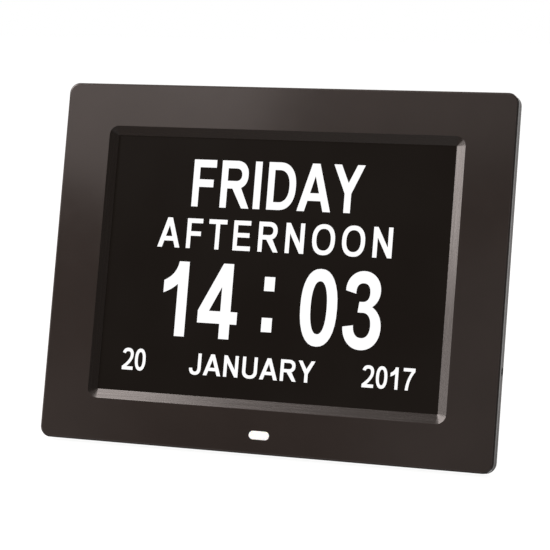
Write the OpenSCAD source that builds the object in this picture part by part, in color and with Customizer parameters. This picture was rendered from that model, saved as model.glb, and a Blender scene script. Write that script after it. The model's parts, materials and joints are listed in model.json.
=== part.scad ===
// Digital day clock: an eight-inch screen in a moulded case that stands on a fold-out leg.
// The case is described upright, with x to the viewer's right, y from the front face to the
// back and z up from the bottom edge. It then leans back until its feet and its leg stand level.

/* [Screen] */
// Width of the screen that shows inside the bevel
screen_w = 162.6; // [158:0.2:166]
// Height of the screen that shows inside the bevel
screen_h = 119.6; // [116:0.2:124]
// Width of the bevel round the screen, seen from the front
bevel_w = 4.2; // [3:0.1:5]
// Depth from the front face to the foot of the bevel
bevel_d = 1.8; // [1.2:0.1:2.4]
// Plain land between the foot of the bevel and the back of the front plate
land_t = 0.4; // [0.3:0.1:0.8]
// Corner radius of the screen opening
screen_r = 0.3; // [0.2:0.1:1]

/* [Case] */
// Band of the front beyond the display module at the left and right
band_side = 16.5; // [16:0.5:24]
// Band of the front beyond the display module above and below
band_end = 13.5; // [12.5:0.5:21.5]
// Corner radius of the case, seen from the front
corner_r = 5; // [4:0.5:8]
// Radius of the front edge
edge_r = 0.9; // [0.4:0.1:1.4]
// Thickness of the case without the stand
case_d = 22; // [21:0.5:28]
// Depth of the upright side wall, where the sloping back begins
rim_d = 7.2; // [7:0.1:8]
// Depth of the front bezel's part of the side wall
bezel_d = 3; // [2.8:0.1:3.2]
// Wall of the bezel and of the rear cover
wall = 2; // [1.8:0.1:2.4]
// Angle between the sloping back edge and the depth of the case
slope_deg = 36; // [30:1:42]
// Radius where the sloping edge meets the flat back
back_r = 6; // [4:0.5:8]
// How fast the corner radius of the back grows as the slope runs inwards
corner_growth = 0.4; // [0.1:0.1:0.7]
// Open seam between the bezel and the rear cover
seam = 0.15; // [0.1:0.05:0.3]
// Thickness of the bezel's locating lip
lip_t = 1.2; // [1:0.1:1.6]
// Height of the locating lip behind the front plate
lip_h = 3.2; // [2:0.1:3.6]

/* [Display module] */
// Width of the display module
lcd_w = 183; // [178:0.5:200]
// Height of the display module
lcd_h = 141; // [136:0.5:150]
// Depth of the display module
lcd_d = 5.7; // [5.4:0.1:6.2]
// Sheet thickness of the display's steel frame
lcd_sheet = 0.4; // [0.3:0.1:0.6]
// Width of the steel frame's front lip
lcd_lip = 8; // [6:0.5:8.5]
// Distance from the module's edge to the glass
cell_in = 4.5; // [3:0.5:6]
// Thickness of the glass cell
cell_t = 1.9; // [1.4:0.1:2.1]
// Thickness of the light guide
guide_t = 2.1; // [1.6:0.1:2.2]
// Distance from the edge of the glass to the light guide
guide_in = 1.5; // [1:0.5:3]
// Height of the row of lamps under the light guide
led_h = 1.4; // [1:0.1:1.8]
// Thickness of the foam gasket in front of the display
gasket_t = 0.3; // [0.2:0.1:0.5]
// Width of the foam gasket
gasket_w = 4; // [2:0.5:6]
// Distance from the edge of the display to the screws of its straps
strap_out = 5.5; // [5:0.5:6.5]
// Height of the strap screws above and below the middle
strap_z = 24; // [22:1:40]
// Overlap of a strap on the back of the display
strap_grip = 4; // [3:0.5:6]
// Width of a strap
strap_w = 10; // [7:0.5:12]
// Thickness of a strap
strap_t = 0.8; // [0.6:0.1:1.2]
// Thickness of the ribs that locate the display
rib_t = 1.2; // [1:0.1:1.6]
// Length of the ribs that locate the display
rib_run = 12; // [6:1:16]
// Width of the flat ribbon cable
flex_w = 24; // [16:1:28]
// Thickness of the flat ribbon cable
flex_t = 0.25; // [0.2:0.05:0.35]
// Radius of the ribbon cable's bends
flex_r = 3; // [2.5:0.5:4]
// Length of the ribbon cable that lies flat on the display
flex_run = 34; // [20:1:40]

/* [Status window] */
// Width of the status window
window_w = 9.6; // [8:0.1:14]
// Height of the status window
window_h = 3.7; // [3:0.1:5]
// Height of the status window's middle above the bottom edge
window_up = 8.6; // [8:0.1:9.2]
// Rim of the window's flange behind the front plate
window_rim = 1.2; // [0.8:0.1:1.6]
// Thickness of the window's flange
window_flange = 1; // [0.8:0.1:1.4]

/* [Stand] */
// Angle by which the case leans back
lean = 14.5; // [12:0.5:18]
// Angle of the open leg from the back of the case
stand_open = 29; // [26:1:33]
// Height of the hinge pin above the bottom edge
pivot_up = 108; // [96:1:114]
// Width of the leg at its hinge
leg_w = 33; // [28:1:36]
// Width of the leg at its tip
leg_tip_w = 24; // [18:1:27]
// Thickness of the leg
leg_t = 3.7; // [3.2:0.1:3.8]
// Chamfer of the leg's outer edges
leg_edge = 0.9; // [0.4:0.1:1.1]
// Skin of the leg behind its ribs
leg_skin = 1.4; // [1.2:0.1:2]
// Width of the leg's ribs and rim
leg_rib = 2.4; // [1.8:0.1:3]
// Number of bays between the leg's cross ribs
leg_bays = 4; // [2:1:6]
// Length of the leg's heel above the pin, which meets the stop
leg_heel = 5; // [4.5:0.1:5.4]
// Radius of the hinge pin
pin_r = 1.25; // [1:0.05:1.4]
// Wall of the leg's barrel round its bore
barrel_wall = 1.8; // [1.6:0.1:2.2]
// Thickness of the blocks that hold the pin
hinge_wall = 5.8; // [4:0.2:6]
// Thickness of the friction washers
washer_t = 0.8; // [0.5:0.1:1]
// Wall of the rubber boot on the leg
boot_wall = 1.1; // [0.9:0.1:1.3]
// Corner radius of the pocket that the leg folds into
pocket_r = 1.5; // [1:0.1:2]
// Rubber under the end of the leg
boot_sole = 2.5; // [2:0.1:3.5]
// Height of the rubber boot
boot_h = 9; // [7:0.5:12]
// Corner radius of the rubber boot
boot_r = 2; // [1:0.5:3]

/* [Feet] */
// Width of a rubber foot
foot_w = 20; // [12:1:30]
// Distance of the feet from the middle of the case
foot_x = 70; // [40:1:76]
// Distance along the slope from the rim to the foot
foot_from = 4; // [3:0.5:5]
// Length of the foot along the slope
foot_run = 7.5; // [5:0.5:8.5]
// Depth of the foot's seat in the rear cover
foot_sink = 0.8; // [0.5:0.1:1]
// Gap between the rim and the table
foot_gap = 0.5; // [0.3:0.1:1.5]

/* [Buttons] */
// Radius of a button
button_r = 3.6; // [3:0.1:4.2]
// Distance between buttons
button_pitch = 13; // [12:0.5:14]
// Distance of the button row from the top edge
button_drop = 28; // [27:0.5:30]
// How far a button stands out of the back
button_proud = 0.8; // [0.6:0.1:1.4]
// Travel of a button
button_travel = 0.6; // [0.3:0.1:0.7]
// Width of the collar that keeps a button in
button_collar = 1.2; // [0.8:0.1:1.6]
// Thickness of the collar
collar_t = 1; // [0.8:0.1:1.2]
// Chamfer of a button's edge
button_chamfer = 0.4; // [0.2:0.1:0.6]
// Depth of the recess round the buttons
recess_d = 0.6; // [0.4:0.1:0.8]
// Rim of the recess round the buttons
recess_rim = 2.6; // [2:0.1:3.5]
// Side of a switch body
switch_w = 6; // [5:0.1:7]
// Height of a switch body
switch_h = 3.5; // [3:0.1:4]
// Radius of a switch stem
stem_r = 1.7; // [1.3:0.1:2]
// Height of a switch stem above its body
stem_h = 1.3; // [1:0.1:1.6]
// Depth of a switch stem inside its body
stem_in = 0.8; // [0.5:0.1:1]

/* [Power socket] */
// Height of the power socket above the bottom edge
socket_up = 45; // [38:0.5:46]
// Radius of the hole in the side wall
socket_hole = 1.9; // [1.8:0.05:1.95]
// Radius of the socket's bore, for a plug of 3.5 mm
socket_bore = 1.8; // [1.76:0.02:1.86]
// Wall of the socket's barrel
socket_wall = 0.7; // [0.5:0.05:0.8]
// Length of the socket's barrel
socket_nose = 3; // [2:0.1:3.6]
// Length of the socket's body
socket_body = 8; // [7:0.1:8.2]
// Width of the socket's body
socket_w = 6.4; // [6:0.1:7]
// Radius of the socket's contact pin
contact_r = 0.55; // [0.45:0.05:0.65]
// Length of the contact pin
contact_len = 8; // [6:0.1:9]
// Distance of the socket behind the side wall
socket_set = 1.2; // [1:0.1:1.6]

/* [Speakers] */
// Radius of a loudspeaker
speaker_r = 16; // [14:0.5:17]
// Distance of the loudspeakers from the middle of the case
speaker_x = 62; // [54:1:64]
// Height of the loudspeakers above the bottom edge
speaker_up = 42; // [40:1:46]
// Depth of a loudspeaker's basket
basket_d = 5.2; // [4.6:0.1:5.6]
// Depth of a loudspeaker's magnet
magnet_d = 4; // [3:0.1:4.4]
// Radius of a loudspeaker's magnet
magnet_r = 9; // [7:0.5:10]
// Width of a loudspeaker's flange
flange_w = 2.8; // [2.2:0.1:3.4]
// Thickness of a loudspeaker's flange
flange_t = 1.2; // [0.9:0.1:1.5]
// Thickness of a loudspeaker's cone
cone_t = 0.5; // [0.4:0.1:0.7]
// Wall of the ring that holds a loudspeaker
ring_t = 1.4; // [1:0.1:1.8]
// Height of the ring that holds a loudspeaker
ring_h = 2.2; // [1.5:0.1:3]
// Width of a sound slot
slot_w = 2; // [1.4:0.1:2.6]
// Distance between sound slots
slot_pitch = 4.2; // [3.6:0.1:5]
// Radius that the sound slots fill
slot_field = 14; // [11:0.5:14.5]

/* [Wall hooks] */
// Distance of the keyholes from the middle of the case
hook_x = 62; // [61:0.5:66]
// Height of the keyholes' round entry above the bottom edge
hook_up = 126; // [124:0.5:130]
// Radius of the round entry, for the screw's head
hook_head_r = 4.2; // [3.6:0.1:4.6]
// Half width of the slot, for the screw's shank
hook_shank_r = 2.2; // [1.8:0.1:2.4]
// Rise of the slot above the entry
hook_rise = 8; // [6:0.5:9]
// Depth of the pocket behind the keyhole
hook_depth = 4.5; // [4:0.1:5]
// Wall of the pocket behind the keyhole
hook_wall = 1.2; // [1:0.1:1.6]

/* [Boards] */
// Thickness of the main circuit board
board_t = 1.6; // [1.2:0.1:1.6]
// Width of the main circuit board
board_w = 60; // [56:1:62]
// Distance between the display and the main board
board_room = 3.2; // [2.8:0.1:4]
// Radius of the posts that carry the main board
post_r = 2.6; // [2.3:0.1:3]
// Distance of the board's screws from its edges
post_in = 4; // [3.5:0.1:5]
// Thickness of the small circuit boards
small_board_t = 1.2; // [0.8:0.1:1.4]
// Height of the button board
button_board_h = 11; // [9:0.5:13]
// Distance of the button board's screws from the last buttons
button_board_end = 9.5; // [9:0.5:11]
// Height of the status board
status_board_h = 6.4; // [6:0.1:6.8]
// Distance of the status board's screws from the middle
status_post_x = 13; // [12:0.5:18]
// Distance of the status board behind the front plate
status_gap = 3.8; // [3.4:0.1:4.2]
// Distance of the power board's screws from the socket
power_post_z = 6.2; // [5.8:0.1:7]
// Radius of the button cell
cell_r = 10; // [8:0.5:10]
// Thickness of the button cell
cell_h = 3.2; // [2.5:0.1:3.2]
// Step at the rim of the button cell
cell_step = 0.8; // [0.5:0.1:1]
// Wall of the cell holder
holder_wall = 1.3; // [1:0.1:1.4]
// Floor of the cell holder
holder_floor = 0.8; // [0.6:0.1:1]
// Side of the processor
chip_w = 14; // [10:0.5:14]
// Height of the processor and of the memory chip
chip_h = 1.3; // [0.9:0.1:1.6]
// Length of the memory chip
memory_long = 11; // [8:0.5:13]
// Width of the memory chip
memory_w = 7.6; // [6:0.2:8]
// Length of the quartz crystal's can
crystal_long = 10.6; // [8:0.2:12]
// Width of the quartz crystal's can
crystal_w = 4.4; // [3:0.2:5]
// Height of the quartz crystal's can
crystal_h = 2.6; // [2:0.1:4]
// Radius of the supply coil
coil_r = 3.8; // [3:0.1:4]
// Height of the supply coil
coil_h = 3.9; // [3:0.1:4.5]
// Radius of the supply capacitors
capacitor_r = 3.1; // [2:0.1:3.4]
// Free space between the supply capacitors and the back
capacitor_gap = 1.8; // [1.4:0.1:3]
// Height of the socket of the ribbon cable
flex_socket_h = 1.2; // [1:0.1:1.4]
// Width of the socket of the ribbon cable
flex_socket_w = 4; // [3:0.2:5]
// Length of the status lamp and receiver
led_w = 6.2; // [5:0.1:8]
// Width of the status lamp and receiver
led_d = 2.8; // [2:0.1:3.2]
// Radius of the status lamp's lenses
lens_r = 1.2; // [0.9:0.1:1.3]
// Vent slots on each side
vent_count = 6; // [3:1:7]
// Distance between vent slots
vent_pitch = 4.6; // [4:0.1:5]
// Length of a vent slot
vent_len = 26; // [16:1:32]
// Height of a vent slot
vent_h = 1.8; // [1.4:0.1:2.2]

/* [Screws] */
// Distance of the case screws from the edges
boss_in = 9.5; // [9.2:0.1:10.5]
// Radius of the case screws' shanks
case_screw_r = 1.3; // [1.1:0.05:1.4]
// Radius of the case screws' heads
case_head_r = 2.5; // [2.2:0.1:2.7]
// Height of the case screws' heads
case_head_h = 1.8; // [1.4:0.1:2]
// Depth at which the bezel's screw bosses end
boss_y = 8; // [7.4:0.1:8.6]
// Floor of the wells that the case screws clamp
well_floor = 2; // [1.6:0.1:2.4]
// Wall of the wells and of the bezel's bosses
boss_wall = 1.6; // [1.2:0.1:2]
// Radius of the small screws' shanks
screw_r = 0.9; // [0.7:0.05:1]
// Radius of the small screws' heads
screw_head_r = 1.8; // [1.5:0.1:2]
// Height of the small screws' heads
screw_head_h = 1.2; // [0.9:0.1:1.4]
// Length of the small screws' shanks
screw_len = 4.5; // [3.5:0.1:5]

/* [Fits] */
// Clearance where one piece sits still in another
fit = 0.15; // [0.1:0.05:0.25]
// Clearance of the hinge pin in the leg
run_fit = 0.05; // [0.03:0.01:0.08]
// Clearance of pressed pins and driven screws
press_fit = 0.02; // [0.01:0.01:0.03]
// Clearance round a sliding button
slide_fit = 0.2; // [0.15:0.05:0.3]
// Clearance round the swinging leg
swing_gap = 0.4; // [0.3:0.1:0.6]
// Clearance left at the open leg's stop
stop_gap = 0.1; // [0.05:0.05:0.2]
// Free space kept between inner pieces
spare = 1.5; // [1:0.1:1.8]

/* [Hidden] */
$fn = 48;

// Colours of the materials
BLACK_CASE = [0.2, 0.175, 0.165];
BLACK_RUBBER = [0.08, 0.08, 0.08];
SCREEN = [0.1, 0.09, 0.08];
MILK = [0.93, 0.92, 0.9];
STEEL = [0.72, 0.72, 0.72];
WHITE = [0.95, 0.95, 0.93];
BOARD = [0.1, 0.35, 0.18];
CHIP = [0.12, 0.12, 0.12];
AMBER = [0.72, 0.5, 0.2];

// Small overlaps that keep cuts and joins clean
over = 1;
sliver = 0.01;
back_steps = 6;
hull_fn = 40;

// Overall size of the front
case_w = lcd_w + 2 * band_side;
case_h = lcd_h + 2 * band_end;
mid_z = case_h / 2;

// Depths from the front face
plate_t = bevel_d + land_t;
lcd_front = plate_t + gasket_t;
lcd_back = lcd_front + lcd_d;
cover_y = bezel_d + seam;
back_in = case_d - wall;
arc_y = case_d - back_r;
arc_in = back_r * cos(slope_deg) + (arc_y + back_r * sin(slope_deg) - rim_d) * tan(slope_deg);

// Display module
cell_w = lcd_w - 2 * cell_in;
cell_hgt = lcd_h - 2 * cell_in;
cell_y = lcd_front + lcd_sheet;
guide_y = cell_y + cell_t;
guide_w = cell_w - 2 * guide_in;
guide_h = cell_hgt - 2 * guide_in;
strap_x = lcd_w / 2 + strap_out;

// Stand: the pin, the pocket that the leg folds into, and the leg's length to the table
barrel_r = pin_r + run_fit + barrel_wall;
pivot_y = case_d - barrel_r - swing_gap;
pocket_y = pivot_y - barrel_r - swing_gap;
washer_gap = washer_t + 2 * fit;
pocket_half = leg_w / 2 + washer_gap;
heel_drop = (pivot_y - pocket_y - stop_gap - leg_heel * sin(stand_open)) / cos(stand_open);
pocket_rise = norm([leg_heel, leg_t - heel_drop]) + swing_gap;
floor_lift = (rim_d * tan(lean) + foot_gap) * cos(lean);
leg_tilt = stand_open - lean;
pivot_height = pivot_up * cos(lean) - pivot_y * sin(lean) + floor_lift;
leg_len = pivot_height / cos(leg_tilt);
plate_end = leg_len - boot_sole;
leg_shoulder = -2 * barrel_r;
leg_straight = boot_h + over - leg_len;
boot_out = leg_t - heel_drop + boot_wall;
front_reach = edge_r * (cos(lean) + sin(lean) - 1);
pivot_back = pivot_y * cos(lean) + pivot_up * sin(lean);
boot_reach = boot_out * cos(leg_tilt) + (leg_len + boot_out * tan(leg_tilt)) * sin(leg_tilt);
origin_y = (front_reach + pivot_back + boot_reach) / 2;

// Buttons and their switches, from the outside inwards
BUTTONS = 7;
button_z = case_h - button_drop;
collar_y = back_in - stop_gap;
tail_y = collar_y - 2 * collar_t;
switch_top = tail_y - run_fit - stem_h;
button_board_y = switch_top - switch_h;
button_end_x = (BUTTONS - 1) / 2 * button_pitch + button_board_end;

// Power socket, in the middle of the rear cover's part of the side wall
socket_y = (cover_y + rim_d) / 2;
socket_front = case_w / 2 - wall - socket_set;
socket_half = socket_bore + socket_wall + fit;
power_y = socket_y + socket_half;
power_x0 = lcd_w / 2 + spare / 2;
power_x1 = socket_front - socket_nose;
power_post_x = (power_x0 + power_x1) / 2;
small_post_r = screw_r + boss_wall / 2;

// Main board, between the loudspeaker and the keyhole, beside the hinge
board_x0 = pocket_half + hinge_wall + spare;
board_z0 = speaker_up + speaker_r + fit + ring_t + spare;
hook_half = hook_head_r + spare / 3;
board_z1 = hook_up - hook_half - hook_wall - spare;
board_h = board_z1 - board_z0;
board_front = lcd_back + board_room;
board_y = board_front + board_t;
post_h = back_in - board_y;
capacitor_h = post_h - capacitor_gap;
flex_x = board_x0 + board_w / 2;
flex_socket_z = board_z0 + 2 * post_in;
status_y = plate_t + status_gap;

// Places on the main board, from its lower inner corner
holder_r = cell_r + fit + holder_wall;
HOLDER_AT = [post_in + post_r + holder_r, board_h - post_in / 2 - holder_r];
PROCESSOR_AT = [board_w - post_in - post_r - chip_w / 2, HOLDER_AT.y];
MEMORY_AT = [PROCESSOR_AT.x, PROCESSOR_AT.y - chip_w / 2 - spare - memory_w / 2];
CRYSTAL_AT = [PROCESSOR_AT.x - chip_w / 2 - spare - crystal_w / 2, MEMORY_AT.y];
COIL_AT = [board_w / 2, post_in + coil_r];
CAPACITORS_AT = [for (step = [0, 1])
    [post_in + post_r + spare + capacitor_r * (1 + 2 * step) + spare * step, post_in + capacitor_r]];

// Places of the screws
case_screw_x = case_w / 2 - boss_in;
CASE_SCREWS = [for (side = [-1, 1]) for (z = [boss_in, case_h - boss_in]) [side * case_screw_x, z]];
STRAPS = [for (side = [-1, 1]) for (rise = [-1, 1]) [side * strap_x, mid_z + rise * strap_z]];
BOARD_POSTS = [
    for (x = [board_x0 + post_in, board_x0 + board_w - post_in])
        for (z = [board_z0 + post_in, board_z1 - post_in]) [x, z]
];
BUTTON_POSTS = [for (side = [-1, 1]) [side * button_end_x, button_z]];
STATUS_POSTS = [for (side = [-1, 1]) [side * status_post_x, window_up]];
POWER_POSTS = [for (side = [-1, 1]) [power_post_x, socket_up + side * power_post_z]];

// Stands the upright case on its feet, with the origin under the middle of the whole clock
module on_table() {
    translate([0, -origin_y, floor_lift]) rotate([-lean, 0, 0]) children();
}

// Carries pieces of the open leg, described with the pin at the origin and the leg hanging down
module on_hinge() {
    on_table() translate([0, pivot_y, pivot_up]) rotate([stand_open, 0, 0]) children();
}

// Solid between two depths from an outline in x and z
module slab(y0, y1) {
    translate([0, y1, 0]) rotate([90, 0, 0]) linear_extrude(height = y1 - y0) children();
}

// Round peg or bore along the depth
module peg(x, z, r, y0, y1) {
    translate([x, y1, z]) rotate([90, 0, 0]) cylinder(r = r, h = y1 - y0);
}

// Round bar along x
module bar(r, half) {
    rotate([0, 90, 0]) cylinder(r = r, h = 2 * half, center = true);
}

// Block between two corners
module block(low, high) {
    translate(low) cube(high - low);
}

// Rectangle with rounded corners
module round_rect(w, h, r) {
    square([w - 2 * r, h], center = true);
    square([w, h - 2 * r], center = true);
    for (x = [-1, 1])
        for (z = [-1, 1])
            translate([x * (w / 2 - r), z * (h / 2 - r)]) circle(r);
}

// Rounded rectangle in the middle of the case, between two depths
module panel(w, h, r, y0, y1) {
    slab(y0, y1) translate([0, mid_z]) round_rect(w, h, r);
}

// Slot with round ends
module pill(w, h) {
    square([w - h, h], center = true);
    for (x = [-1, 1])
        translate([x * (w - h) / 2, 0]) circle(h / 2);
}

// Block with rounded corners whose front edge is rounded too
module soft_block(w, h, r, edge, depth) {
    module section() {
        square([r - edge, depth]);
        translate([0, edge]) square([r, depth - edge]);
        translate([r - edge, edge]) circle(edge);
    }
    module sides(long, off) {
        for (turn = [0, 180])
            rotate([0, turn, 0]) translate([off, 0, -long / 2]) linear_extrude(height = long) section();
    }
    translate([0, 0, mid_z]) {
        block([-w / 2 + r, 0, -h / 2 + r], [w / 2 - r, depth, h / 2 - r]);
        sides(h - 2 * r, w / 2 - r);
        rotate([0, 90, 0]) sides(w - 2 * r, h / 2 - r);
        for (x = [-1, 1])
            for (z = [-1, 1])
                translate([x * (w / 2 - r), 0, z * (h / 2 - r)])
                    rotate([-90, 0, 0]) rotate_extrude() section();
    }
}

// Cut for the screen: a bevel that narrows inwards, then a plain land
module screen_cut() {
    spread = bevel_w * (1 + over / bevel_d);
    half_w = screen_w / 2;
    half_h = screen_h / 2;
    module wedge(half, long) {
        linear_extrude(height = long, center = true)
            polygon([[-half - spread, -over], [half + spread, -over], [half, bevel_d], [-half, bevel_d]]);
    }
    translate([0, 0, mid_z]) {
        wedge(half_w, screen_h - 2 * screen_r);
        rotate([0, 90, 0]) wedge(half_h, screen_w - 2 * screen_r);
        for (x = [-1, 1])
            for (z = [-1, 1])
                translate([x * (half_w - screen_r), bevel_d, z * (half_h - screen_r)])
                    rotate([90, 0, 0]) cylinder(r1 = screen_r, r2 = screen_r + spread, h = bevel_d + over);
    }
    panel(screen_w, screen_h, screen_r, bevel_d - sliver, plate_t + over);
}

// Outline ring of the back, drawn in by an inset, between two depths
module back_ring(skin, inset, y0, y1) {
    r = corner_r - skin + corner_growth * (inset - skin);
    for (x = [-1, 1])
        for (z = [-1, 1])
            translate([x * (case_w / 2 - inset - r), y1, mid_z + z * (case_h / 2 - inset - r)])
                rotate([90, 0, 0]) cylinder(r = r, h = y1 - y0, $fn = hull_fn);
}

// Form of the back: an upright rim, a slope and a rounded edge, all drawn in by a skin
module back_form(skin, y0) {
    hull() {
        back_ring(skin, skin, y0, rim_d - skin * tan(slope_deg / 2));
        for (step = [0 : back_steps]) {
            turn = slope_deg + (90 - slope_deg) * step / back_steps;
            depth = arc_y + (back_r - skin) * sin(turn);
            back_ring(skin, arc_in - (back_r - skin) * cos(turn), depth - sliver, depth);
        }
    }
}

// Point on the lower slope, from a run along it and a drop below it, as depth and height
function slope_point(run, drop) = [
    rim_d + run * cos(slope_deg) + drop * sin(slope_deg),
    run * sin(slope_deg) - drop * cos(slope_deg)
];

// Drop from the lower slope to the table
function table_drop(run) =
    (run * sin(slope_deg) - (rim_d + run * cos(slope_deg)) * tan(lean) + floor_lift / cos(lean))
    / (cos(slope_deg) + sin(slope_deg) * tan(lean));

// Solid across the width of a foot from an outline in depth and height
module foot_block(points, width) {
    for (side = [-1, 1])
        translate([side * foot_x, 0, 0])
            rotate([90, 0, 90]) linear_extrude(height = width, center = true) polygon(points);
}

// Pan-head screw that points to the front, with the underside of its head at a depth
module screw_forward(place, shank_r, head_r, head_h, len, y) {
    peg(place.x, place.y, head_r, y, y + head_h);
    peg(place.x, place.y, shank_r, y - len, y + sliver);
}

// Pan-head screw that points to the back, with the underside of its head at a depth
module screw_back(place, shank_r, head_r, head_h, len, y) {
    peg(place.x, place.y, head_r, y - head_h, y);
    peg(place.x, place.y, shank_r, y - sliver, y + len);
}

// Front bezel: plate, side wall, locating lip, screw bosses, posts and ribs for the display
module front_bezel() {
    boss_r = case_screw_r + boss_wall;
    pilot_r = case_screw_r + press_fit;
    small_pilot = screw_r + press_fit;
    lip_w = case_w - 2 * (wall + fit);
    lip_hgt = case_h - 2 * (wall + fit);
    lip_r = corner_r - wall - fit;
    lip_y = plate_t + lip_h;
    rib_x = lcd_w / 2 + fit;
    rib_z = lcd_h / 2 + fit;
    color(BLACK_CASE) on_table() difference() {
        union() {
            difference() {
                soft_block(case_w, case_h, corner_r, edge_r, bezel_d);
                panel(case_w - 2 * wall, case_h - 2 * wall, corner_r - wall, plate_t, bezel_d + over);
            }
            difference() {
                panel(lip_w, lip_hgt, lip_r, plate_t - sliver, lip_y);
                panel(lip_w - 2 * lip_t, lip_hgt - 2 * lip_t, lip_r - lip_t, plate_t - over, lip_y + over);
            }
            for (place = CASE_SCREWS) peg(place.x, place.y, boss_r, plate_t - sliver, boss_y);
            for (place = STRAPS) peg(place.x, place.y, boss_r, plate_t - sliver, lcd_back);
            for (place = STATUS_POSTS) peg(place.x, place.y, small_post_r, plate_t - sliver, status_y);
            for (place = POWER_POSTS) peg(place.x, place.y, small_post_r, plate_t - sliver, power_y);
            for (x = [-1, 1])
                for (z = [-1, 1])
                    translate([0, 0, mid_z]) scale([x, 1, z]) {
                        block([rib_x, plate_t - sliver, rib_z - rib_run],
                            [rib_x + rib_t, lcd_back - over, rib_z + rib_t]);
                        block([rib_x - rib_run, plate_t - sliver, rib_z],
                            [rib_x, lcd_back - over, rib_z + rib_t]);
                    }
        }
        screen_cut();
        slab(-over, plate_t + over) translate([0, window_up]) pill(window_w + 2 * fit, window_h + 2 * fit);
        block([socket_front - over, plate_t, socket_up - socket_half - spare / 2],
            [case_w / 2 - wall, lip_y + over, socket_up + socket_half + spare / 2]);
        for (place = CASE_SCREWS) peg(place.x, place.y, pilot_r, plate_t, boss_y + over);
        for (place = STRAPS) peg(place.x, place.y, small_pilot, plate_t, lcd_back + over);
        for (place = STATUS_POSTS) peg(place.x, place.y, small_pilot, plate_t, status_y + over);
        for (place = POWER_POSTS) peg(place.x, place.y, small_pilot, plate_t, power_y + over);
    }
}

// Walls inside the rear cover: the leg's pocket, the hinge blocks, the keyhole pockets, the wells
module cover_walls() {
    well_r = case_head_r + 2 * fit + boss_wall;
    top = pivot_up + pocket_rise + wall;
    block([-pocket_half - wall, pocket_y - wall, 0], [pocket_half + wall, case_d, top]);
    block([-pocket_half - hinge_wall, pocket_y - wall, pivot_up - barrel_r - wall],
        [pocket_half + hinge_wall, case_d, top]);
    for (side = [-1, 1])
        translate([side * hook_x, 0, 0])
            block([-hook_half - hook_wall, back_in - hook_depth - hook_wall, hook_up - hook_half - hook_wall],
                [hook_half + hook_wall, case_d, hook_up + hook_rise + hook_half + hook_wall]);
    for (place = CASE_SCREWS) peg(place.x, place.y, well_r, boss_y + fit, case_d);
}

// Keyhole in the back: a round entry, a slot above it and a pocket behind both
module keyhole() {
    peg(0, hook_up, hook_head_r, back_in - over, case_d + over);
    peg(0, hook_up + hook_rise, hook_shank_r, back_in - over, case_d + over);
    block([-hook_shank_r, back_in - over, hook_up],
        [hook_shank_r, case_d + over, hook_up + hook_rise]);
    block([-hook_half, back_in - hook_depth, hook_up - hook_half],
        [hook_half, back_in, hook_up + hook_rise + hook_half]);
}

// Row of level slots that fill a disc in front of a loudspeaker
module sound_slots() {
    count = floor((slot_field - slot_w) / slot_pitch);
    for (row = [-count : count])
        translate([0, row * slot_pitch])
            pill(2 * sqrt(pow(slot_field, 2) - pow(row * slot_pitch, 2)), slot_w);
}

// Level vent slots over the boards
module vent_slots() {
    for (row = [0 : vent_count - 1])
        translate([0, (row - (vent_count - 1) / 2) * vent_pitch]) pill(vent_len, vent_h);
}

// Rear cover: hollow back with the leg's pocket, keyholes, wells, grilles, vents and openings
module rear_cover() {
    well_in = case_head_r + 2 * fit;
    seat_y = boss_y + fit + well_floor;
    vent_z = (board_z0 + board_z1) / 2;
    vent_x = board_x0 + board_w / 2;
    recess_w = (BUTTONS - 1) * button_pitch + 2 * (button_r + recess_rim);
    color(BLACK_CASE) on_table() difference() {
        union() {
            difference() {
                back_form(0, cover_y);
                back_form(wall, cover_y - over);
            }
            intersection() {
                back_form(wall / 2, cover_y);
                cover_walls();
            }
            for (place = BOARD_POSTS) peg(place.x, place.y, post_r, board_y, board_y + post_h + sliver);
            for (place = BUTTON_POSTS) peg(place.x, place.y, post_r, button_board_y, back_in + sliver);
            for (side = [-1, 1])
                translate([side * speaker_x, 0, speaker_up]) difference() {
                    peg(0, 0, speaker_r + fit + ring_t, back_in - ring_h, back_in + sliver);
                    peg(0, 0, speaker_r + fit, back_in - ring_h - over, back_in);
                }
        }
        slab(pocket_y, case_d + over) translate([0, (pivot_up + pocket_rise) / 2 - pocket_r])
            round_rect(2 * pocket_half, pivot_up + pocket_rise + 2 * pocket_r, pocket_r);
        translate([0, pivot_y, pivot_up]) bar(pin_r + press_fit, pocket_half + hinge_wall + over);
        for (side = [-1, 1])
            translate([side * hook_x, 0, 0]) keyhole();
        for (place = CASE_SCREWS) {
            peg(place.x, place.y, case_screw_r + fit, boss_y, seat_y + over);
            peg(place.x, place.y, well_in, seat_y, case_d + over);
        }
        for (place = BOARD_POSTS) peg(place.x, place.y, screw_r + press_fit, board_y - over, back_in);
        for (place = BUTTON_POSTS) peg(place.x, place.y, screw_r + press_fit, button_board_y - over, back_in);
        for (side = [-1, 1])
            slab(back_in - over, case_d + over) translate([side * speaker_x, speaker_up]) sound_slots();
        for (side = [-1, 1])
            slab(back_in - over, case_d + over) translate([side * vent_x, vent_z]) vent_slots();
        slab(case_d - recess_d, case_d + over)
            translate([0, button_z]) pill(recess_w, 2 * (button_r + recess_rim));
        for (index = [0 : BUTTONS - 1])
            peg(button_x(index), button_z, button_r + slide_fit, back_in - over, case_d + over);
        translate([case_w / 2 - wall, socket_y, socket_up]) bar(socket_hole, wall + over);
        foot_block([
            slope_point(foot_from - fit, -foot_sink - fit),
            slope_point(foot_from + foot_run + fit, -foot_sink - fit),
            slope_point(foot_from + foot_run + fit, over),
            slope_point(foot_from - fit, over)
        ], foot_w + 2 * fit);
    }
}

// Milky status window with a flange behind the front plate
module status_window() {
    color(MILK) on_table() translate([0, 0, window_up]) {
        slab(fit / 2, plate_t) pill(window_w, window_h);
        slab(plate_t, plate_t + window_flange)
            pill(window_w + 2 * (window_rim + fit), window_h + 2 * (window_rim + fit));
    }
}

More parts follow.
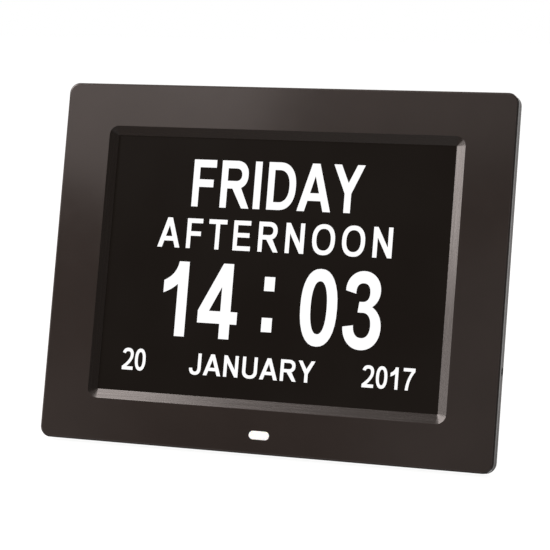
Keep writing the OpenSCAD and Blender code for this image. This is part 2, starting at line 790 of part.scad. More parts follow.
// Rubber feet whose soles lie level on the table when the case leans back
module foot_pads() {
    to = foot_from + foot_run;
    color(BLACK_RUBBER) on_table() foot_block([
        slope_point(foot_from, -foot_sink),
        slope_point(to, -foot_sink),
        slope_point(to, table_drop(to)),
        slope_point(foot_from, table_drop(foot_from))
    ], foot_w);
}

// Screws that hold the rear cover to the bezel's bosses
module case_screws() {
    seat_y = boss_y + fit + well_floor;
    color(STEEL) on_table() for (place = CASE_SCREWS)
        screw_forward(place, case_screw_r, case_head_r, case_head_h, seat_y - plate_t - over, seat_y);
}

// Foam gasket between the front plate and the display
module screen_gasket() {
    inner = spare + gasket_w;
    color(CHIP) on_table() difference() {
        panel(lcd_w - 2 * spare, lcd_h - 2 * spare, spare, plate_t, lcd_front);
        panel(lcd_w - 2 * inner, lcd_h - 2 * inner, spare, plate_t - over, lcd_front + over);
    }
}

// Pressed steel frame that holds the layers of the display together
module lcd_frame() {
    color(STEEL) on_table() difference() {
        panel(lcd_w, lcd_h, over, lcd_front, lcd_back);
        panel(lcd_w - 2 * lcd_sheet, lcd_h - 2 * lcd_sheet, over - lcd_sheet, cell_y, lcd_back + over);
        panel(lcd_w - 2 * lcd_lip, lcd_h - 2 * lcd_lip, over, lcd_front - over, lcd_back);
    }
}

// Glass cell that shows the picture
module lcd_cell() {
    color(SCREEN) on_table() panel(cell_w, cell_hgt, screen_r, cell_y, guide_y);
}

// Clear plate that spreads the light behind the glass
module light_guide() {
    color(WHITE) on_table() panel(guide_w, guide_h, screen_r, guide_y, guide_y + guide_t);
}

// White tray that carries the glass, the light guide and the row of lamps
module backlight_tray() {
    tray_w = lcd_w - 2 * (lcd_sheet + fit);
    tray_h = lcd_h - 2 * (lcd_sheet + fit);
    lamp_z = mid_z - guide_h / 2 - led_h;
    color(WHITE) on_table() difference() {
        panel(tray_w, tray_h, over / 2, cell_y, lcd_back);
        panel(cell_w + 2 * fit, cell_hgt + 2 * fit, screen_r, cell_y - over, guide_y);
        panel(guide_w + 2 * fit, guide_h + 2 * fit, screen_r, cell_y, guide_y + guide_t);
        block([-guide_w / 2 - fit, cell_y, lamp_z - fit], [guide_w / 2 + fit, guide_y + guide_t, mid_z]);
    }
}

// Row of lamps that lights the guide from below
module led_bar() {
    edge = mid_z - guide_h / 2;
    color(AMBER) on_table()
        block([-guide_w / 2, guide_y, edge - led_h], [guide_w / 2, guide_y + guide_t, edge - run_fit]);
}

// Flat ribbon cable from the display's back to its socket on the main board
module lcd_flex() {
    start = lcd_back + fit;
    level = board_front - flex_socket_h / 2;
    shift = level - start;
    bend = acos(1 - shift / (2 * flex_r));
    rise = 2 * flex_r * sin(bend);
    steps = 8;
    first = [for (i = [0 : steps]) let (a = bend * i / steps)
        [start + flex_r * (1 - cos(a)), flex_r * sin(a), a]];
    second = [for (i = [1 : steps]) let (a = bend * (1 - i / steps))
        [level - flex_r * (1 - cos(a)), rise - flex_r * sin(a), a]];
    path = concat([[start, -flex_run, 0]], first, second);
    side = [for (p = path) [p[0] - flex_t / 2 * cos(p[2]), p[1] + flex_t / 2 * sin(p[2])]];
    back = [for (i = [len(path) - 1 : -1 : 0]) let (p = path[i])
        [p[0] + flex_t / 2 * cos(p[2]), p[1] - flex_t / 2 * sin(p[2])]];
    color(AMBER) on_table()
        translate([flex_x, 0, flex_socket_z - rise]) rotate([90, 0, 90])
            linear_extrude(height = flex_w, center = true) polygon(concat(side, back));
}

// Steel straps that hold the display against the bezel
module lcd_straps() {
    color(STEEL) on_table() for (place = STRAPS) difference() {
        inner = lcd_w / 2 - strap_grip;
        outer = strap_x + case_screw_r + boss_wall;
        side = sign(place.x);
        slab(lcd_back, lcd_back + strap_t)
            translate([side * (inner + outer) / 2, place.y]) round_rect(outer - inner, strap_w, spare);
        peg(place.x, place.y, screw_r + fit, lcd_back - over, lcd_back + strap_t + over);
    }
}

// Screws of the display's straps
module strap_screws() {
    color(STEEL) on_table() for (place = STRAPS)
        screw_forward(place, screw_r, screw_head_r, screw_head_h, screw_len, lcd_back + strap_t);
}

// Main circuit board on the posts of the rear cover
module main_board() {
    color(BOARD) on_table() difference() {
        slab(board_front, board_y) translate([board_x0 + board_w / 2, board_z0 + board_h / 2])
            round_rect(board_w, board_h, spare);
        for (place = BOARD_POSTS) peg(place.x, place.y, screw_r + fit, board_front - over, board_y + over);
    }
}

// Socket of the ribbon cable, on the front of the main board
module flex_socket() {
    half = flex_w / 2 + spare;
    color(WHITE) on_table()
        block([flex_x - half, board_front - flex_socket_h, flex_socket_z],
            [flex_x + half, board_front, flex_socket_z + flex_socket_w]);
}

// Carries a piece on the back of the main board, by its place from the board's lower inner corner
module on_board(place) {
    on_table() translate([board_x0 + place.x, board_y, board_z0 + place.y]) rotate([-90, 0, 0]) children();
}

// Processor that runs the clock
module processor() {
    color(CHIP) on_board(PROCESSOR_AT) linear_extrude(height = chip_h) square(chip_w, center = true);
}

// Memory chip beside the processor
module memory_chip() {
    color(CHIP) on_board(MEMORY_AT)
        linear_extrude(height = chip_h) square([memory_long, memory_w], center = true);
}

// Quartz crystal in its steel can, which keeps the time
module clock_crystal() {
    color(STEEL) on_board(CRYSTAL_AT) rotate([0, 0, 90])
        linear_extrude(height = crystal_h) pill(crystal_long, crystal_w);
}

// Coil of the supply
module supply_coil() {
    color(CHIP) on_board(COIL_AT) cylinder(r = coil_r, h = coil_h);
}

// Capacitors of the supply
module supply_capacitors() {
    color(STEEL) for (place = CAPACITORS_AT)
        on_board(place) cylinder(r = capacitor_r, h = capacitor_h);
}

// Round holder of the cell that keeps the time when the power fails
module cell_holder() {
    color(CHIP) on_board(HOLDER_AT) difference() {
        cylinder(r = cell_r + fit + holder_wall, h = holder_floor + cell_h);
        translate([0, 0, holder_floor]) cylinder(r = cell_r + fit, h = cell_h + over);
        block([-cell_r / 2, -2 * cell_r, holder_floor + cell_h / 2],
            [cell_r / 2, 2 * cell_r, holder_floor + 2 * cell_h]);
    }
}

// Button cell
module coin_cell() {
    color(STEEL) on_board(HOLDER_AT) translate([0, 0, holder_floor]) {
        cylinder(r = cell_r, h = cell_h - cell_step);
        cylinder(r = cell_r - holder_wall, h = cell_h);
    }
}

// Circuit board of the buttons
module button_board() {
    half = button_end_x + post_r;
    front = button_board_y - small_board_t;
    color(BOARD) on_table() difference() {
        slab(front, button_board_y) translate([0, button_z]) round_rect(2 * half, button_board_h, spare);
        for (place = BUTTON_POSTS)
            peg(place.x, place.y, screw_r + fit, front - over, button_board_y + over);
    }
}

// Place of a button along the row
function button_x(index) = ((BUTTONS - 1) / 2 - index) * button_pitch;

// Bodies of the push switches, each with the well of its stem
module switch_bodies() {
    well = switch_top - stem_in - button_travel - stop_gap;
    color(CHIP) on_table() for (index = [0 : BUTTONS - 1]) difference() {
        slab(button_board_y, switch_top)
            translate([button_x(index), button_z]) square(switch_w, center = true);
        peg(button_x(index), button_z, stem_r + run_fit, well, switch_top + over);
    }
}

// Stem of one push switch
module switch_stem(index) {
    color(CHIP) on_table()
        peg(button_x(index), button_z, stem_r, switch_top - stem_in, switch_top + stem_h);
}

// Cap of one button: a chamfered head, a collar inside the cover and a tail on the switch
module button_cap(index) {
    top = case_d + button_proud;
    color(BLACK_CASE) on_table() translate([button_x(index), 0, button_z]) {
        peg(0, 0, button_r, collar_y - sliver, top - button_chamfer);
        translate([0, top - button_chamfer, 0]) rotate([-90, 0, 0])
            cylinder(r1 = button_r, r2 = button_r - button_chamfer, h = button_chamfer);
        peg(0, 0, button_r + button_collar, collar_y - collar_t, collar_y);
        peg(0, 0, stem_r + button_collar, tail_y, collar_y - collar_t + sliver);
    }
}

// Small board behind the status window
module status_board() {
    half = status_post_x + small_post_r + fit;
    color(BOARD) on_table() difference() {
        slab(status_y, status_y + small_board_t)
            translate([0, window_up]) round_rect(2 * half, status_board_h, spare);
        for (place = STATUS_POSTS)
            peg(place.x, place.y, screw_r + fit, status_y - over, status_y + small_board_t + over);
    }
}

// Lamp and receiver behind the status window
module status_led() {
    base_y = plate_t + window_flange + fit + lens_r;
    color(MILK) on_table() {
        slab(base_y, status_y) translate([0, window_up]) pill(led_w, led_d);
        for (side = [-1, 1])
            translate([side * (led_w - led_d) / 2, base_y, window_up]) sphere(lens_r);
    }
}

// Small board that carries the power socket
module power_board() {
    half = power_post_z + small_post_r;
    back = power_y + small_board_t;
    color(BOARD) on_table() difference() {
        block([power_x0, power_y, socket_up - half], [power_x1, back, socket_up + half]);
        for (place = POWER_POSTS)
            peg(place.x, place.y, screw_r + fit, power_y - over, back + over);
    }
}

// Power socket: a barrel behind the side wall and a body on its board
module power_socket() {
    deep = socket_nose + socket_body;
    color(CHIP) on_table() translate([socket_front, socket_y, socket_up]) difference() {
        union() {
            rotate([0, -90, 0]) cylinder(r = socket_bore + socket_wall, h = socket_nose + sliver);
            block([-deep, -socket_half, -socket_w / 2], [-socket_nose, socket_half, socket_w / 2]);
        }
        translate([over, 0, 0]) rotate([0, -90, 0]) cylinder(r = socket_bore, h = contact_len + spare + over);
        rotate([0, -90, 0]) cylinder(r = contact_r + press_fit, h = deep + over);
    }
}

// Contact pin in the middle of the power socket
module socket_contact() {
    color(STEEL) on_table() translate([socket_front - spare, socket_y, socket_up])
        rotate([0, -90, 0]) cylinder(r = contact_r, h = contact_len + spare);
}

// Screws of the circuit boards
module board_screws() {
    color(STEEL) on_table() {
        for (place = BOARD_POSTS)
            screw_back(place, screw_r, screw_head_r, screw_head_h, screw_len, board_front);
        for (place = BUTTON_POSTS)
            screw_back(place, screw_r, screw_head_r, screw_head_h, screw_len, button_board_y - small_board_t);
        for (place = STATUS_POSTS)
            screw_forward(place, screw_r, screw_head_r, screw_head_h, screw_len, status_y + small_board_t);
        for (place = POWER_POSTS)
            screw_forward(place, screw_r, screw_head_r, screw_head_h, screw_len, power_y + small_board_t);
    }
}

// Carries a loudspeaker, described with its axis up and its flange's face at the origin
module on_speaker(side) {
    on_table() translate([side * speaker_x, back_in - run_fit, speaker_up]) rotate([-90, 0, 0]) children();
}

// Pressed basket of a loudspeaker
module speaker_basket(side) {
    throat = speaker_r - flange_w;
    neck = magnet_r + over;
    color(STEEL) on_speaker(side) rotate_extrude() polygon([
        [throat, 0], [speaker_r, 0], [speaker_r, -flange_t], [throat + flange_t, -flange_t],
        [neck + flange_t / 2, -basket_d], [magnet_r / 2, -basket_d], [magnet_r / 2, flange_t - basket_d],
        [neck, flange_t - basket_d], [throat, -flange_t]
    ]);
}

// Cone, surround and dust cap of a loudspeaker
module speaker_cone(side) {
    rim = speaker_r - flange_w - run_fit;
    cap = magnet_r / 2;
    deep = basket_d - flange_t - 2 * cone_t;
    color(CHIP) on_speaker(side) rotate_extrude() polygon([
        [rim, -cone_t], [rim, -2 * cone_t], [rim - flange_w / 2, -2 * cone_t], [cap, -deep - cone_t],
        [0, -deep + cone_t], [0, -deep + 2 * cone_t], [cap, -deep], [rim - flange_w / 2, -cone_t]
    ]);
}

// Magnet of a loudspeaker
module speaker_magnet(side) {
    color(CHIP) on_speaker(side) translate([0, 0, -basket_d - magnet_d]) cylinder(r = magnet_r, h = magnet_d);
}

// Outline of the leg from a top to an end, drawn in by a margin, tapering between its shoulders
module leg_outline(top, end, margin) {
    wide = leg_w / 2 - margin;
    slim = leg_tip_w / 2 - margin;
    polygon([
        [-wide, top], [wide, top], [wide, leg_shoulder], [slim, leg_straight], [slim, end],
        [-slim, end], [-slim, leg_straight], [-wide, leg_shoulder]
    ]);
}

// Chamfer along an edge of the leg's outer face, between two corners and a little past them
module leg_chamfer(start, stop) {
    run = stop - start;
    middle = (start + stop) / 2;
    translate([middle.x, leg_t - heel_drop, middle.y]) rotate([0, atan2(run.x, run.y), 0])
        linear_extrude(height = norm(run) + over, center = true)
            rotate(45) square(leg_edge * sqrt(2), center = true);
}

// Fold-out leg: a barrel for the pin, a heel that meets the stop and a plate ribbed inside
module stand_leg() {
    bay_top = -barrel_r - leg_rib;
    bay_end = leg_straight + leg_rib;
    bay = (bay_top - bay_end + leg_rib) / leg_bays;
    color(BLACK_CASE) on_hinge() difference() {
        union() {
            difference() {
                difference() {
                    slab(-heel_drop, leg_t - heel_drop) leg_outline(leg_heel, -plate_end, 0);
                    for (side = [-1, 1])
                        leg_chamfer([side * leg_w / 2, leg_shoulder], [side * leg_w / 2, leg_heel]);
                }
                for (side = [-1, 1])
                    leg_chamfer([side * leg_tip_w / 2, leg_straight], [side * leg_w / 2, leg_shoulder]);
            }
            bar(barrel_r, leg_w / 2);
        }
        bar(pin_r + run_fit, leg_w);
        difference() {
            slab(-heel_drop - over, leg_t - heel_drop - leg_skin) intersection() {
                leg_outline(bay_top, bay_end - leg_rib, leg_rib);
                translate([-leg_w, bay_end]) square([2 * leg_w, bay_top - bay_end]);
            }
            block([-leg_rib / 2, -leg_t, bay_end - over], [leg_rib / 2, leg_t, bay_top + over]);
            for (rib = [1 : leg_bays - 1])
                block([-leg_w, -leg_t, bay_end + rib * bay - leg_rib], [leg_w, leg_t, bay_end + rib * bay]);
        }
    }
}

// Steel pin of the leg's hinge
module hinge_pin() {
    color(STEEL) on_table() translate([0, pivot_y, pivot_up]) bar(pin_r, pocket_half + hinge_wall - fit);
}

// Friction washers between the leg and the walls of its pocket
module hinge_washers() {
    color(STEEL) on_table() for (side = [-1, 1])
        translate([side * (leg_w / 2 + washer_gap / 2), pivot_y, pivot_up]) difference() {
            bar(barrel_r - fit, washer_t / 2);
            bar(pin_r + run_fit, washer_t);
        }
}

// Rubber boot on the leg's tip, cut level with the table when the leg is open
module leg_boot() {
    width = leg_tip_w + 2 * boot_wall;
    high = leg_len - boot_h;
    low = leg_len + boot_h;
    color(BLACK_RUBBER) on_hinge() difference() {
        slab(-heel_drop - boot_wall, boot_out)
            translate([0, -(high + low) / 2]) round_rect(width, low - high, boot_r);
        block([-leg_tip_w / 2 - run_fit, -heel_drop - run_fit, -plate_end - run_fit],
            [leg_tip_w / 2 + run_fit, leg_t - heel_drop + run_fit, 0]);
        translate([0, 0, -leg_len]) rotate([-leg_tilt, 0, 0])
            block([-leg_w, -leg_w, -2 * boot_h], [leg_w, leg_w, 0]);
    }
}

front_bezel();
rear_cover();
status_window();
foot_pads();
case_screws();
screen_gasket();
lcd_frame();
lcd_cell();
light_guide();
backlight_tray();
led_bar();
lcd_flex();
lcd_straps();
strap_screws();
main_board();
flex_socket();
processor();
memory_chip();
clock_crystal();
supply_coil();
supply_capacitors();
cell_holder();
coin_cell();
button_board();
switch_bodies();
status_board();
status_led();
power_board();
power_socket();
socket_contact();
board_screws();
speaker_basket(-1);  // left_speaker_basket
speaker_cone(-1);  // left_speaker_cone
speaker_magnet(-1);  // left_speaker_magnet
speaker_basket(1);  // right_speaker_basket
speaker_cone(1);  // right_speaker_cone
speaker_magnet(1);  // right_speaker_magnet
stand_leg();
hinge_pin();
hinge_washers();
leg_boot();
button_cap(0);  // power_button
button_cap(1);  // menu_button
button_cap(2);  // up_button
button_cap(3);  // down_button
button_cap(4);  // left_button
button_cap(5);  // right_button
button_cap(6);  // exit_button
switch_stem(0);  // power_stem
switch_stem(1);  // menu_stem
switch_stem(2);  // up_stem
switch_stem(3);  // down_stem
switch_stem(4);  // left_stem
switch_stem(5);  // right_stem
switch_stem(6);  // exit_stem
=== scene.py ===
# %% [markdown]
# # A digital day clock, dressed for its picture
#
# The clock is a wide screen in a black moulded case of the picture-frame kind. It leans back on a
# leg that folds out of its back. The solids arrive ready made, at their real size and place, so
# this lesson adds what solids lack: finishes, the lit readout and the small details on top.

# %% Load the solids
import json

import bpy
import numpy as np
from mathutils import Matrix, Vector


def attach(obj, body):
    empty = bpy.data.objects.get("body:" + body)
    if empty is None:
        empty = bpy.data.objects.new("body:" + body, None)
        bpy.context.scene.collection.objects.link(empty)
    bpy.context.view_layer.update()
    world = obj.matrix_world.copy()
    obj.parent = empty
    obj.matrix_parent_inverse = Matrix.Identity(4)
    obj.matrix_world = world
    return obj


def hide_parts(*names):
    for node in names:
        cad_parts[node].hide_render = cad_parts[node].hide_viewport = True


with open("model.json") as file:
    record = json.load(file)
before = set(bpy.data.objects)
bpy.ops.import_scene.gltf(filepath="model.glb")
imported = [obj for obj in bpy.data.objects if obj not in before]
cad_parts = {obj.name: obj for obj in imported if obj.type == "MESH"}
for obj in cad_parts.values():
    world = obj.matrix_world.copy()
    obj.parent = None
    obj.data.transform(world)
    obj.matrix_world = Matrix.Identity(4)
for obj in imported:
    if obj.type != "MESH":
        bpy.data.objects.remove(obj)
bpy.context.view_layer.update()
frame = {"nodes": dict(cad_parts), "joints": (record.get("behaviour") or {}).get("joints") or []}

# %% [markdown]
# ## The leaning case's own axes
#
# Everything on a picture-frame clock is square to its case, and the case leans. It is easier to
# place details across the case, into its depth and up its face than along the room's axes. The
# keys press straight into the back, so the direction of a key's joint is the direction of the
# case's depth, and the other two axes follow from it.

# %% Axes of the case
MM = 0.001
JOINTS = {joint["name"]: joint for joint in frame["joints"]}
ACROSS = np.array([1.0, 0.0, 0.0])
DEEP = -np.array(JOINTS["power_press"]["axis"])
UP = np.cross(ACROSS, DEEP)
CASE_AXES = np.stack([ACROSS, DEEP, UP])


def in_case(points):
    """Row-frame points along the case's axes: the dot product of each point with each axis."""
    return np.asarray(points) @ CASE_AXES.T


def in_row(points):
    """The way back: the sum of the three axes, each times its coordinate."""
    return np.asarray(points) @ CASE_AXES


print("lean, degrees:", round(float(np.degrees(np.arccos(UP[2]))), 1))

# %% [markdown]
# ## Where the solids lie
#
# A detail keeps its seat when a size changes, if its place is read from the solid that carries it.
# The corners of a solid, taken along the case's axes, give its ends across the case, in depth and
# in height.

# %% Spans of the solids along the case's axes
def node_points(node):
    """All corners of one solid in the row frame, as an array with a row for each."""
    mesh = frame["nodes"][node].data
    flat = np.zeros(len(mesh.vertices) * 3, np.float32)
    mesh.vertices.foreach_get("co", flat)
    return flat.reshape(-1, 3)


def case_span(node):
    """Lowest and highest corner of one solid along the case's axes."""
    points = in_case(node_points(node))
    return points.min(axis=0), points.max(axis=0)


BEZEL_LOW, BEZEL_HIGH = case_span("front_bezel")
BEZEL_MIDDLE = (BEZEL_LOW + BEZEL_HIGH) / 2
LEFT, FACE, TOP = BEZEL_LOW[0], BEZEL_LOW[1], BEZEL_HIGH[2]
GLASS_FRONT = case_span("lcd_cell")[0][1]
print("case, mm:", np.round((case_span("rear_cover")[1] - BEZEL_LOW) / MM, 2))

# %% [markdown]
# ## Camera
#
# The photograph was taken from the right of the clock and from a little above it, with a long
# lens. Matching the picture's outline to the case's real size gives the camera's place, the point
# that it looks at and the focal length. The places are measured on the case: right of the face's
# left edge, down from its top edge and out in front of it. The camera is level, so it has no roll.

# %% Camera at the photograph's place
CAMERA_RIGHT = 377.5 * MM
CAMERA_DOWN = 149.5 * MM
CAMERA_OUT = 816.9 * MM
AIM_RIGHT = 109.7 * MM
AIM_DOWN = 86.35 * MM
IMAGE_SIDE = 550
FOCAL_PIXELS = 1897
SENSOR = 36


def on_face(right, down, out=0.0):
    """Row-frame point from a place on the face: right of its left edge, below its top edge, and out
    in front of it."""
    return in_row([LEFT + right, FACE - out, TOP - down])


camera_data = bpy.data.cameras.new("camera")
camera_data.sensor_width = SENSOR
camera_data.lens = FOCAL_PIXELS / IMAGE_SIDE * SENSOR
camera = bpy.data.objects.new("camera", camera_data)
camera.location = on_face(CAMERA_RIGHT, CAMERA_DOWN, CAMERA_OUT)
aim = Vector(on_face(AIM_RIGHT, AIM_DOWN)) - camera.location
camera.rotation_euler = aim.to_track_quat("-Z", "Y").to_euler()
bpy.context.scene.collection.objects.link(camera)
bpy.context.scene.camera = camera
bpy.context.scene.view_settings.view_transform = "Standard"
print("lens, mm:", round(camera_data.lens, 1), "distance, m:", round(aim.length, 3))

# %% [markdown]
# ## Node trees in a few words
#
# Every finish below is a small node tree. One helper adds a node, sets its properties and fills
# its inputs, and it links an input whose value is another node's output. That keeps each finish
# short enough to read as a recipe. A noise texture seldom leaves the middle of its range, so
# colours and numbers run over that middle, unless a recipe says otherwise.

# %% Helpers for node trees
NOISE_LOW = 0.35
NOISE_HIGH = 0.65


def add(tree, kind, inputs=(), **settings):
    """Adds a shader node: a socket given as an input is linked, and any other value is set."""
    made = tree.nodes.new("ShaderNode" + kind)
    for key, value in settings.items():
        setattr(made, key, value)
    for key, value in dict(inputs).items():
        if isinstance(value, bpy.types.NodeSocket):
            tree.links.new(value, made.inputs[key])
        else:
            made.inputs[key].default_value = value
    return made


def new_finish(name, inputs):
    """New material with one Principled shader whose constant inputs are set on its own sockets."""
    material = bpy.data.materials.new(name)
    material.use_nodes = True
    tree = material.node_tree
    skin = tree.nodes["Principled BSDF"]
    for key, value in inputs.items():
        skin.inputs[key].default_value = value
    return material, tree, skin


def place(tree):
    """The piece's own place in the row frame, in metres."""
    return add(tree, "TexCoord").outputs["Object"]


def cloud(tree, size, detail=2.0, rough=0.5):
    """Soft random pattern whose blots are about as large as the size, from 0 to 1."""
    inputs = {"Vector": place(tree), "Scale": 1 / size, "Detail": detail, "Roughness": rough}
    return add(tree, "TexNoise", inputs).outputs["Fac"]


def squares(tree, size):
    """Square grid of the given size: 0 in the middle of each square, about a half at its rim."""
    inputs = {"Vector": place(tree), "Scale": 1 / size, "Randomness": 0.0}
    return add(tree, "TexVoronoi", inputs, distance="CHEBYCHEV").outputs["Distance"]


def between(tree, factor, low, high, start=NOISE_LOW, stop=NOISE_HIGH):
    """Number that runs from low to high as the factor runs from start to stop."""
    inputs = {"Value": factor, "From Min": start, "From Max": stop, "To Min": low, "To Max": high}
    return add(tree, "MapRange", inputs).outputs["Result"]


def shades(tree, factor, dark, light, start=NOISE_LOW, stop=NOISE_HIGH):
    """Colour that runs from dark to light as the factor runs from start to stop."""
    ramp = add(tree, "ValToRGB", {"Fac": factor})
    ramp.color_ramp.elements[0].position = start
    ramp.color_ramp.elements[0].color = (*dark, 1)
    ramp.color_ramp.elements[1].position = stop
    ramp.color_ramp.elements[1].color = (*light, 1)
    return ramp.outputs["Color"]


def relief(tree, skin, height, depth):
    """Bump as deep as the depth, in metres, where the height goes from 0 to 1."""
    bump = add(tree, "Bump", {"Height": height, "Distance": depth})
    tree.links.new(bump.outputs["Normal"], skin.inputs["Normal"])


# %% [markdown]
# ## Studio
#
# The picture has a white ground and soft light from the upper left. The floor is a wide
# sheet under the clock. It shows white to the camera, and a part of its brightness comes from the
# lamps, so it keeps a soft shadow. The world is white to the camera and where reflections meet
# the backdrop behind the clock, and dim towards the room in front of it, where the floor is dim
# too, most of all on the left. That is how a dark glossy thing is photographed: what it mirrors
# decides how dark it looks. Strengths are shares of white, and places on the floor are in metres.

# %% Floor
WHITE = 1.0
FLOOR_SIDE = 8.0
FLOOR_PAINT = 0.12
FLOOR_GLOW = 0.95
FLOOR_NEAR = 0.25
FLOOR_FAR = 0.80
FLOOR_EDGE = 0.10
FLOOR_LEFT = 0.04
FLOOR_RIGHT = 0.32
FLOOR_SPAN = (-0.25, 0.10)


def strength_by_ray(tree, seen, mirrored, gathered):
    """Brightness by the kind of ray: seen or refracted, mirrored by a gloss, or gathered as light."""
    light = add(tree, "LightPath").outputs
    rays = {0: light["Is Camera Ray"], 1: light["Is Transmission Ray"]}
    direct = add(tree, "Math", rays, operation="MAXIMUM").outputs[0]
    gloss = add(tree, "Mix", {"Factor": light["Is Glossy Ray"], "A": gathered, "B": mirrored}).outputs[0]
    return add(tree, "Mix", {"Factor": direct, "A": gloss, "B": seen}).outputs[0]


def floor_paint():
    """Matt paint with a glow of its own. It is seen white far away and a little less under the clock.
    Gloss mirrors it bright behind the clock, and dim ahead of it, dimmer on the left."""
    paint = bpy.data.materials.new("floor_paint")
    paint.use_nodes = True
    tree = paint.node_tree
    tree.nodes.clear()
    spot = place(tree)
    away = add(tree, "VectorMath", {0: spot}, operation="LENGTH").outputs["Value"]
    seen = between(tree, away, FLOOR_GLOW, WHITE, FLOOR_NEAR, FLOOR_FAR)
    where = add(tree, "SeparateXYZ", {"Vector": spot}).outputs
    ahead = between(tree, where["X"], FLOOR_LEFT, FLOOR_RIGHT, *FLOOR_SPAN)
    mirrored = between(tree, where["Y"], ahead, FLOOR_GLOW, -FLOOR_EDGE, FLOOR_EDGE)
    matt = add(tree, "BsdfDiffuse", {"Color": (FLOOR_PAINT, FLOOR_PAINT, FLOOR_PAINT, 1)})
    lit = add(tree, "Emission", {"Strength": strength_by_ray(tree, seen, mirrored, 0.0)})
    both = add(tree, "AddShader", {0: matt.outputs[0], 1: lit.outputs[0]})
    add(tree, "OutputMaterial", {"Surface": both.outputs[0]})
    return paint


def make_floor():
    """Square sheet under the soles: a grid of two by two points."""
    side = np.array([-0.5, 0.5]) * FLOOR_SIDE
    x, y = np.meshgrid(side, side, indexing="ij")
    corners = np.stack([x, y, np.zeros_like(x)], axis=-1).reshape(-1, 3)
    mesh = bpy.data.meshes.new("floor")
    mesh.from_pydata(corners.tolist(), [], [(0, 2, 3, 1)])
    mesh.materials.append(floor_paint())
    floor = bpy.data.objects.new("floor", mesh)
    bpy.context.scene.collection.objects.link(floor)


make_floor()
print("floor, m:", FLOOR_SIDE)

# %% World
AMBIENT = 0.25
ROOM_GLOW = 0.14
ROOM_DEPTH = 0.7


def make_world():
    """White where it is seen, white behind the clock and dim before it where it is mirrored."""
    world = bpy.data.worlds.new("studio")
    world.use_nodes = True
    tree = world.node_tree
    way = add(tree, "SeparateXYZ", {"Vector": add(tree, "TexCoord").outputs["Generated"]})
    mirrored = between(tree, way.outputs["Y"], ROOM_GLOW, WHITE, 0.0, ROOM_DEPTH)
    ground = tree.nodes["Background"]
    ground.inputs["Color"].default_value = (1, 1, 1, 1)
    tree.links.new(strength_by_ray(tree, WHITE, mirrored, AMBIENT), ground.inputs["Strength"])
    bpy.context.scene.world = world


make_world()
print("ambient light:", AMBIENT)

# %% [markdown]
# ## Lamps
#
# A smooth dark case shows its lamps twice. They light its colour a little, and it mirrors them.
# The bevel on the right mirrors the left, so the large lamp and the low window make it bright from
# top to bottom. The face mirrors what is ahead of it: the edges of one tall window end the bright
# corner at its upper left, and two faint panels lift its lower corners. One more lamp lights the
# back, which the photograph doesn't show.

# %% Lamps on a sphere round the clock
LAMP_AIM = in_row([BEZEL_MIDDLE[0], FACE, BEZEL_MIDDLE[2]])
LAMP_AWAY = 1.3
LAMP_COLOUR = (1.0, 0.895, 0.86)


def soft_lamp(name, azimuth, elevation, wide, high, brightness, shape="ELLIPSE"):
    """Soft lamp on a sphere round the clock. Azimuth 0 is straight ahead, positive to the right. Wide
    and high are the angles from its middle to its rims, and its power is its brightness times pi
    times its area."""
    turn, rise = np.radians(azimuth), np.radians(elevation)
    way = np.array([np.sin(turn) * np.cos(rise), -np.cos(turn) * np.cos(rise), np.sin(rise)])
    sides = 2 * LAMP_AWAY * np.tan(np.radians([wide, high]))
    fill = np.pi / 4 if shape == "ELLIPSE" else 1.0
    lamp = bpy.data.lights.new(name, "AREA")
    lamp.shape = shape
    lamp.size, lamp.size_y = sides
    lamp.energy = brightness * np.pi * fill * sides.prod()
    lamp.color = LAMP_COLOUR
    box = bpy.data.objects.new(name, lamp)
    box.location = LAMP_AIM + LAMP_AWAY * way
    box.rotation_euler = (Vector(LAMP_AIM) - box.location).to_track_quat("-Z", "Y").to_euler()
    bpy.context.scene.collection.objects.link(box)


soft_lamp("key_lamp", azimuth=-62, elevation=35.2, wide=23, high=23.1, brightness=8.3)
soft_lamp("low_window", azimuth=-62, elevation=1, wide=20, high=9, brightness=3.3, shape="RECTANGLE")
soft_lamp("tall_window", azimuth=-34.1, elevation=38.4, wide=12.4, high=18, brightness=1.28,
          shape="RECTANGLE")
soft_lamp("left_panel", azimuth=-37.5, elevation=4, wide=12, high=8, brightness=0.23, shape="RECTANGLE")
soft_lamp("right_panel", azimuth=-4, elevation=10, wide=9, high=12, brightness=0.24)
soft_lamp("top_fill", azimuth=-15, elevation=48, wide=24, high=24, brightness=0.45)
soft_lamp("back_lamp", azimuth=150, elevation=42, wide=24, high=24, brightness=4.0)

# %% [markdown]
# ## Moulded plastic
#
# The case is injection moulded. The mould of the back was spark eroded, which leaves a fine even
# grain, and that of the front was polished, so the front mirrors the lamps. A grain this fine is a
# bump and not a mesh. The colour drifts a little over the part, as it does in a real moulding.
# The same recipe with other numbers gives rubber, foam, paper and ferrite.

# %% Mouldings of the case, rubber and the inner pieces
CASE_DARK = (0.0204, 0.0151, 0.0127)
CASE_LIGHT = (0.0232, 0.0173, 0.0147)
DRIFT_SIZE = 30 * MM
PATCH_SIZE = 6 * MM


def moulded(name, roughness, grain, depth, dark=CASE_DARK, light=CASE_LIGHT, sheen=0.5, patch=0.03):
    """Moulded plastic: slow drift of colour and gloss, and a fine grain as bump."""
    material, tree, skin = new_finish(name, {"Specular IOR Level": sheen})
    drift = cloud(tree, DRIFT_SIZE)
    tree.links.new(shades(tree, drift, dark, light), skin.inputs["Base Color"])
    patchy = cloud(tree, PATCH_SIZE, detail=4.0)
    gloss = between(tree, patchy, roughness - patch, roughness + patch)
    tree.links.new(gloss, skin.inputs["Roughness"])
    relief(tree, skin, cloud(tree, grain, detail=3.0), depth)
    return material


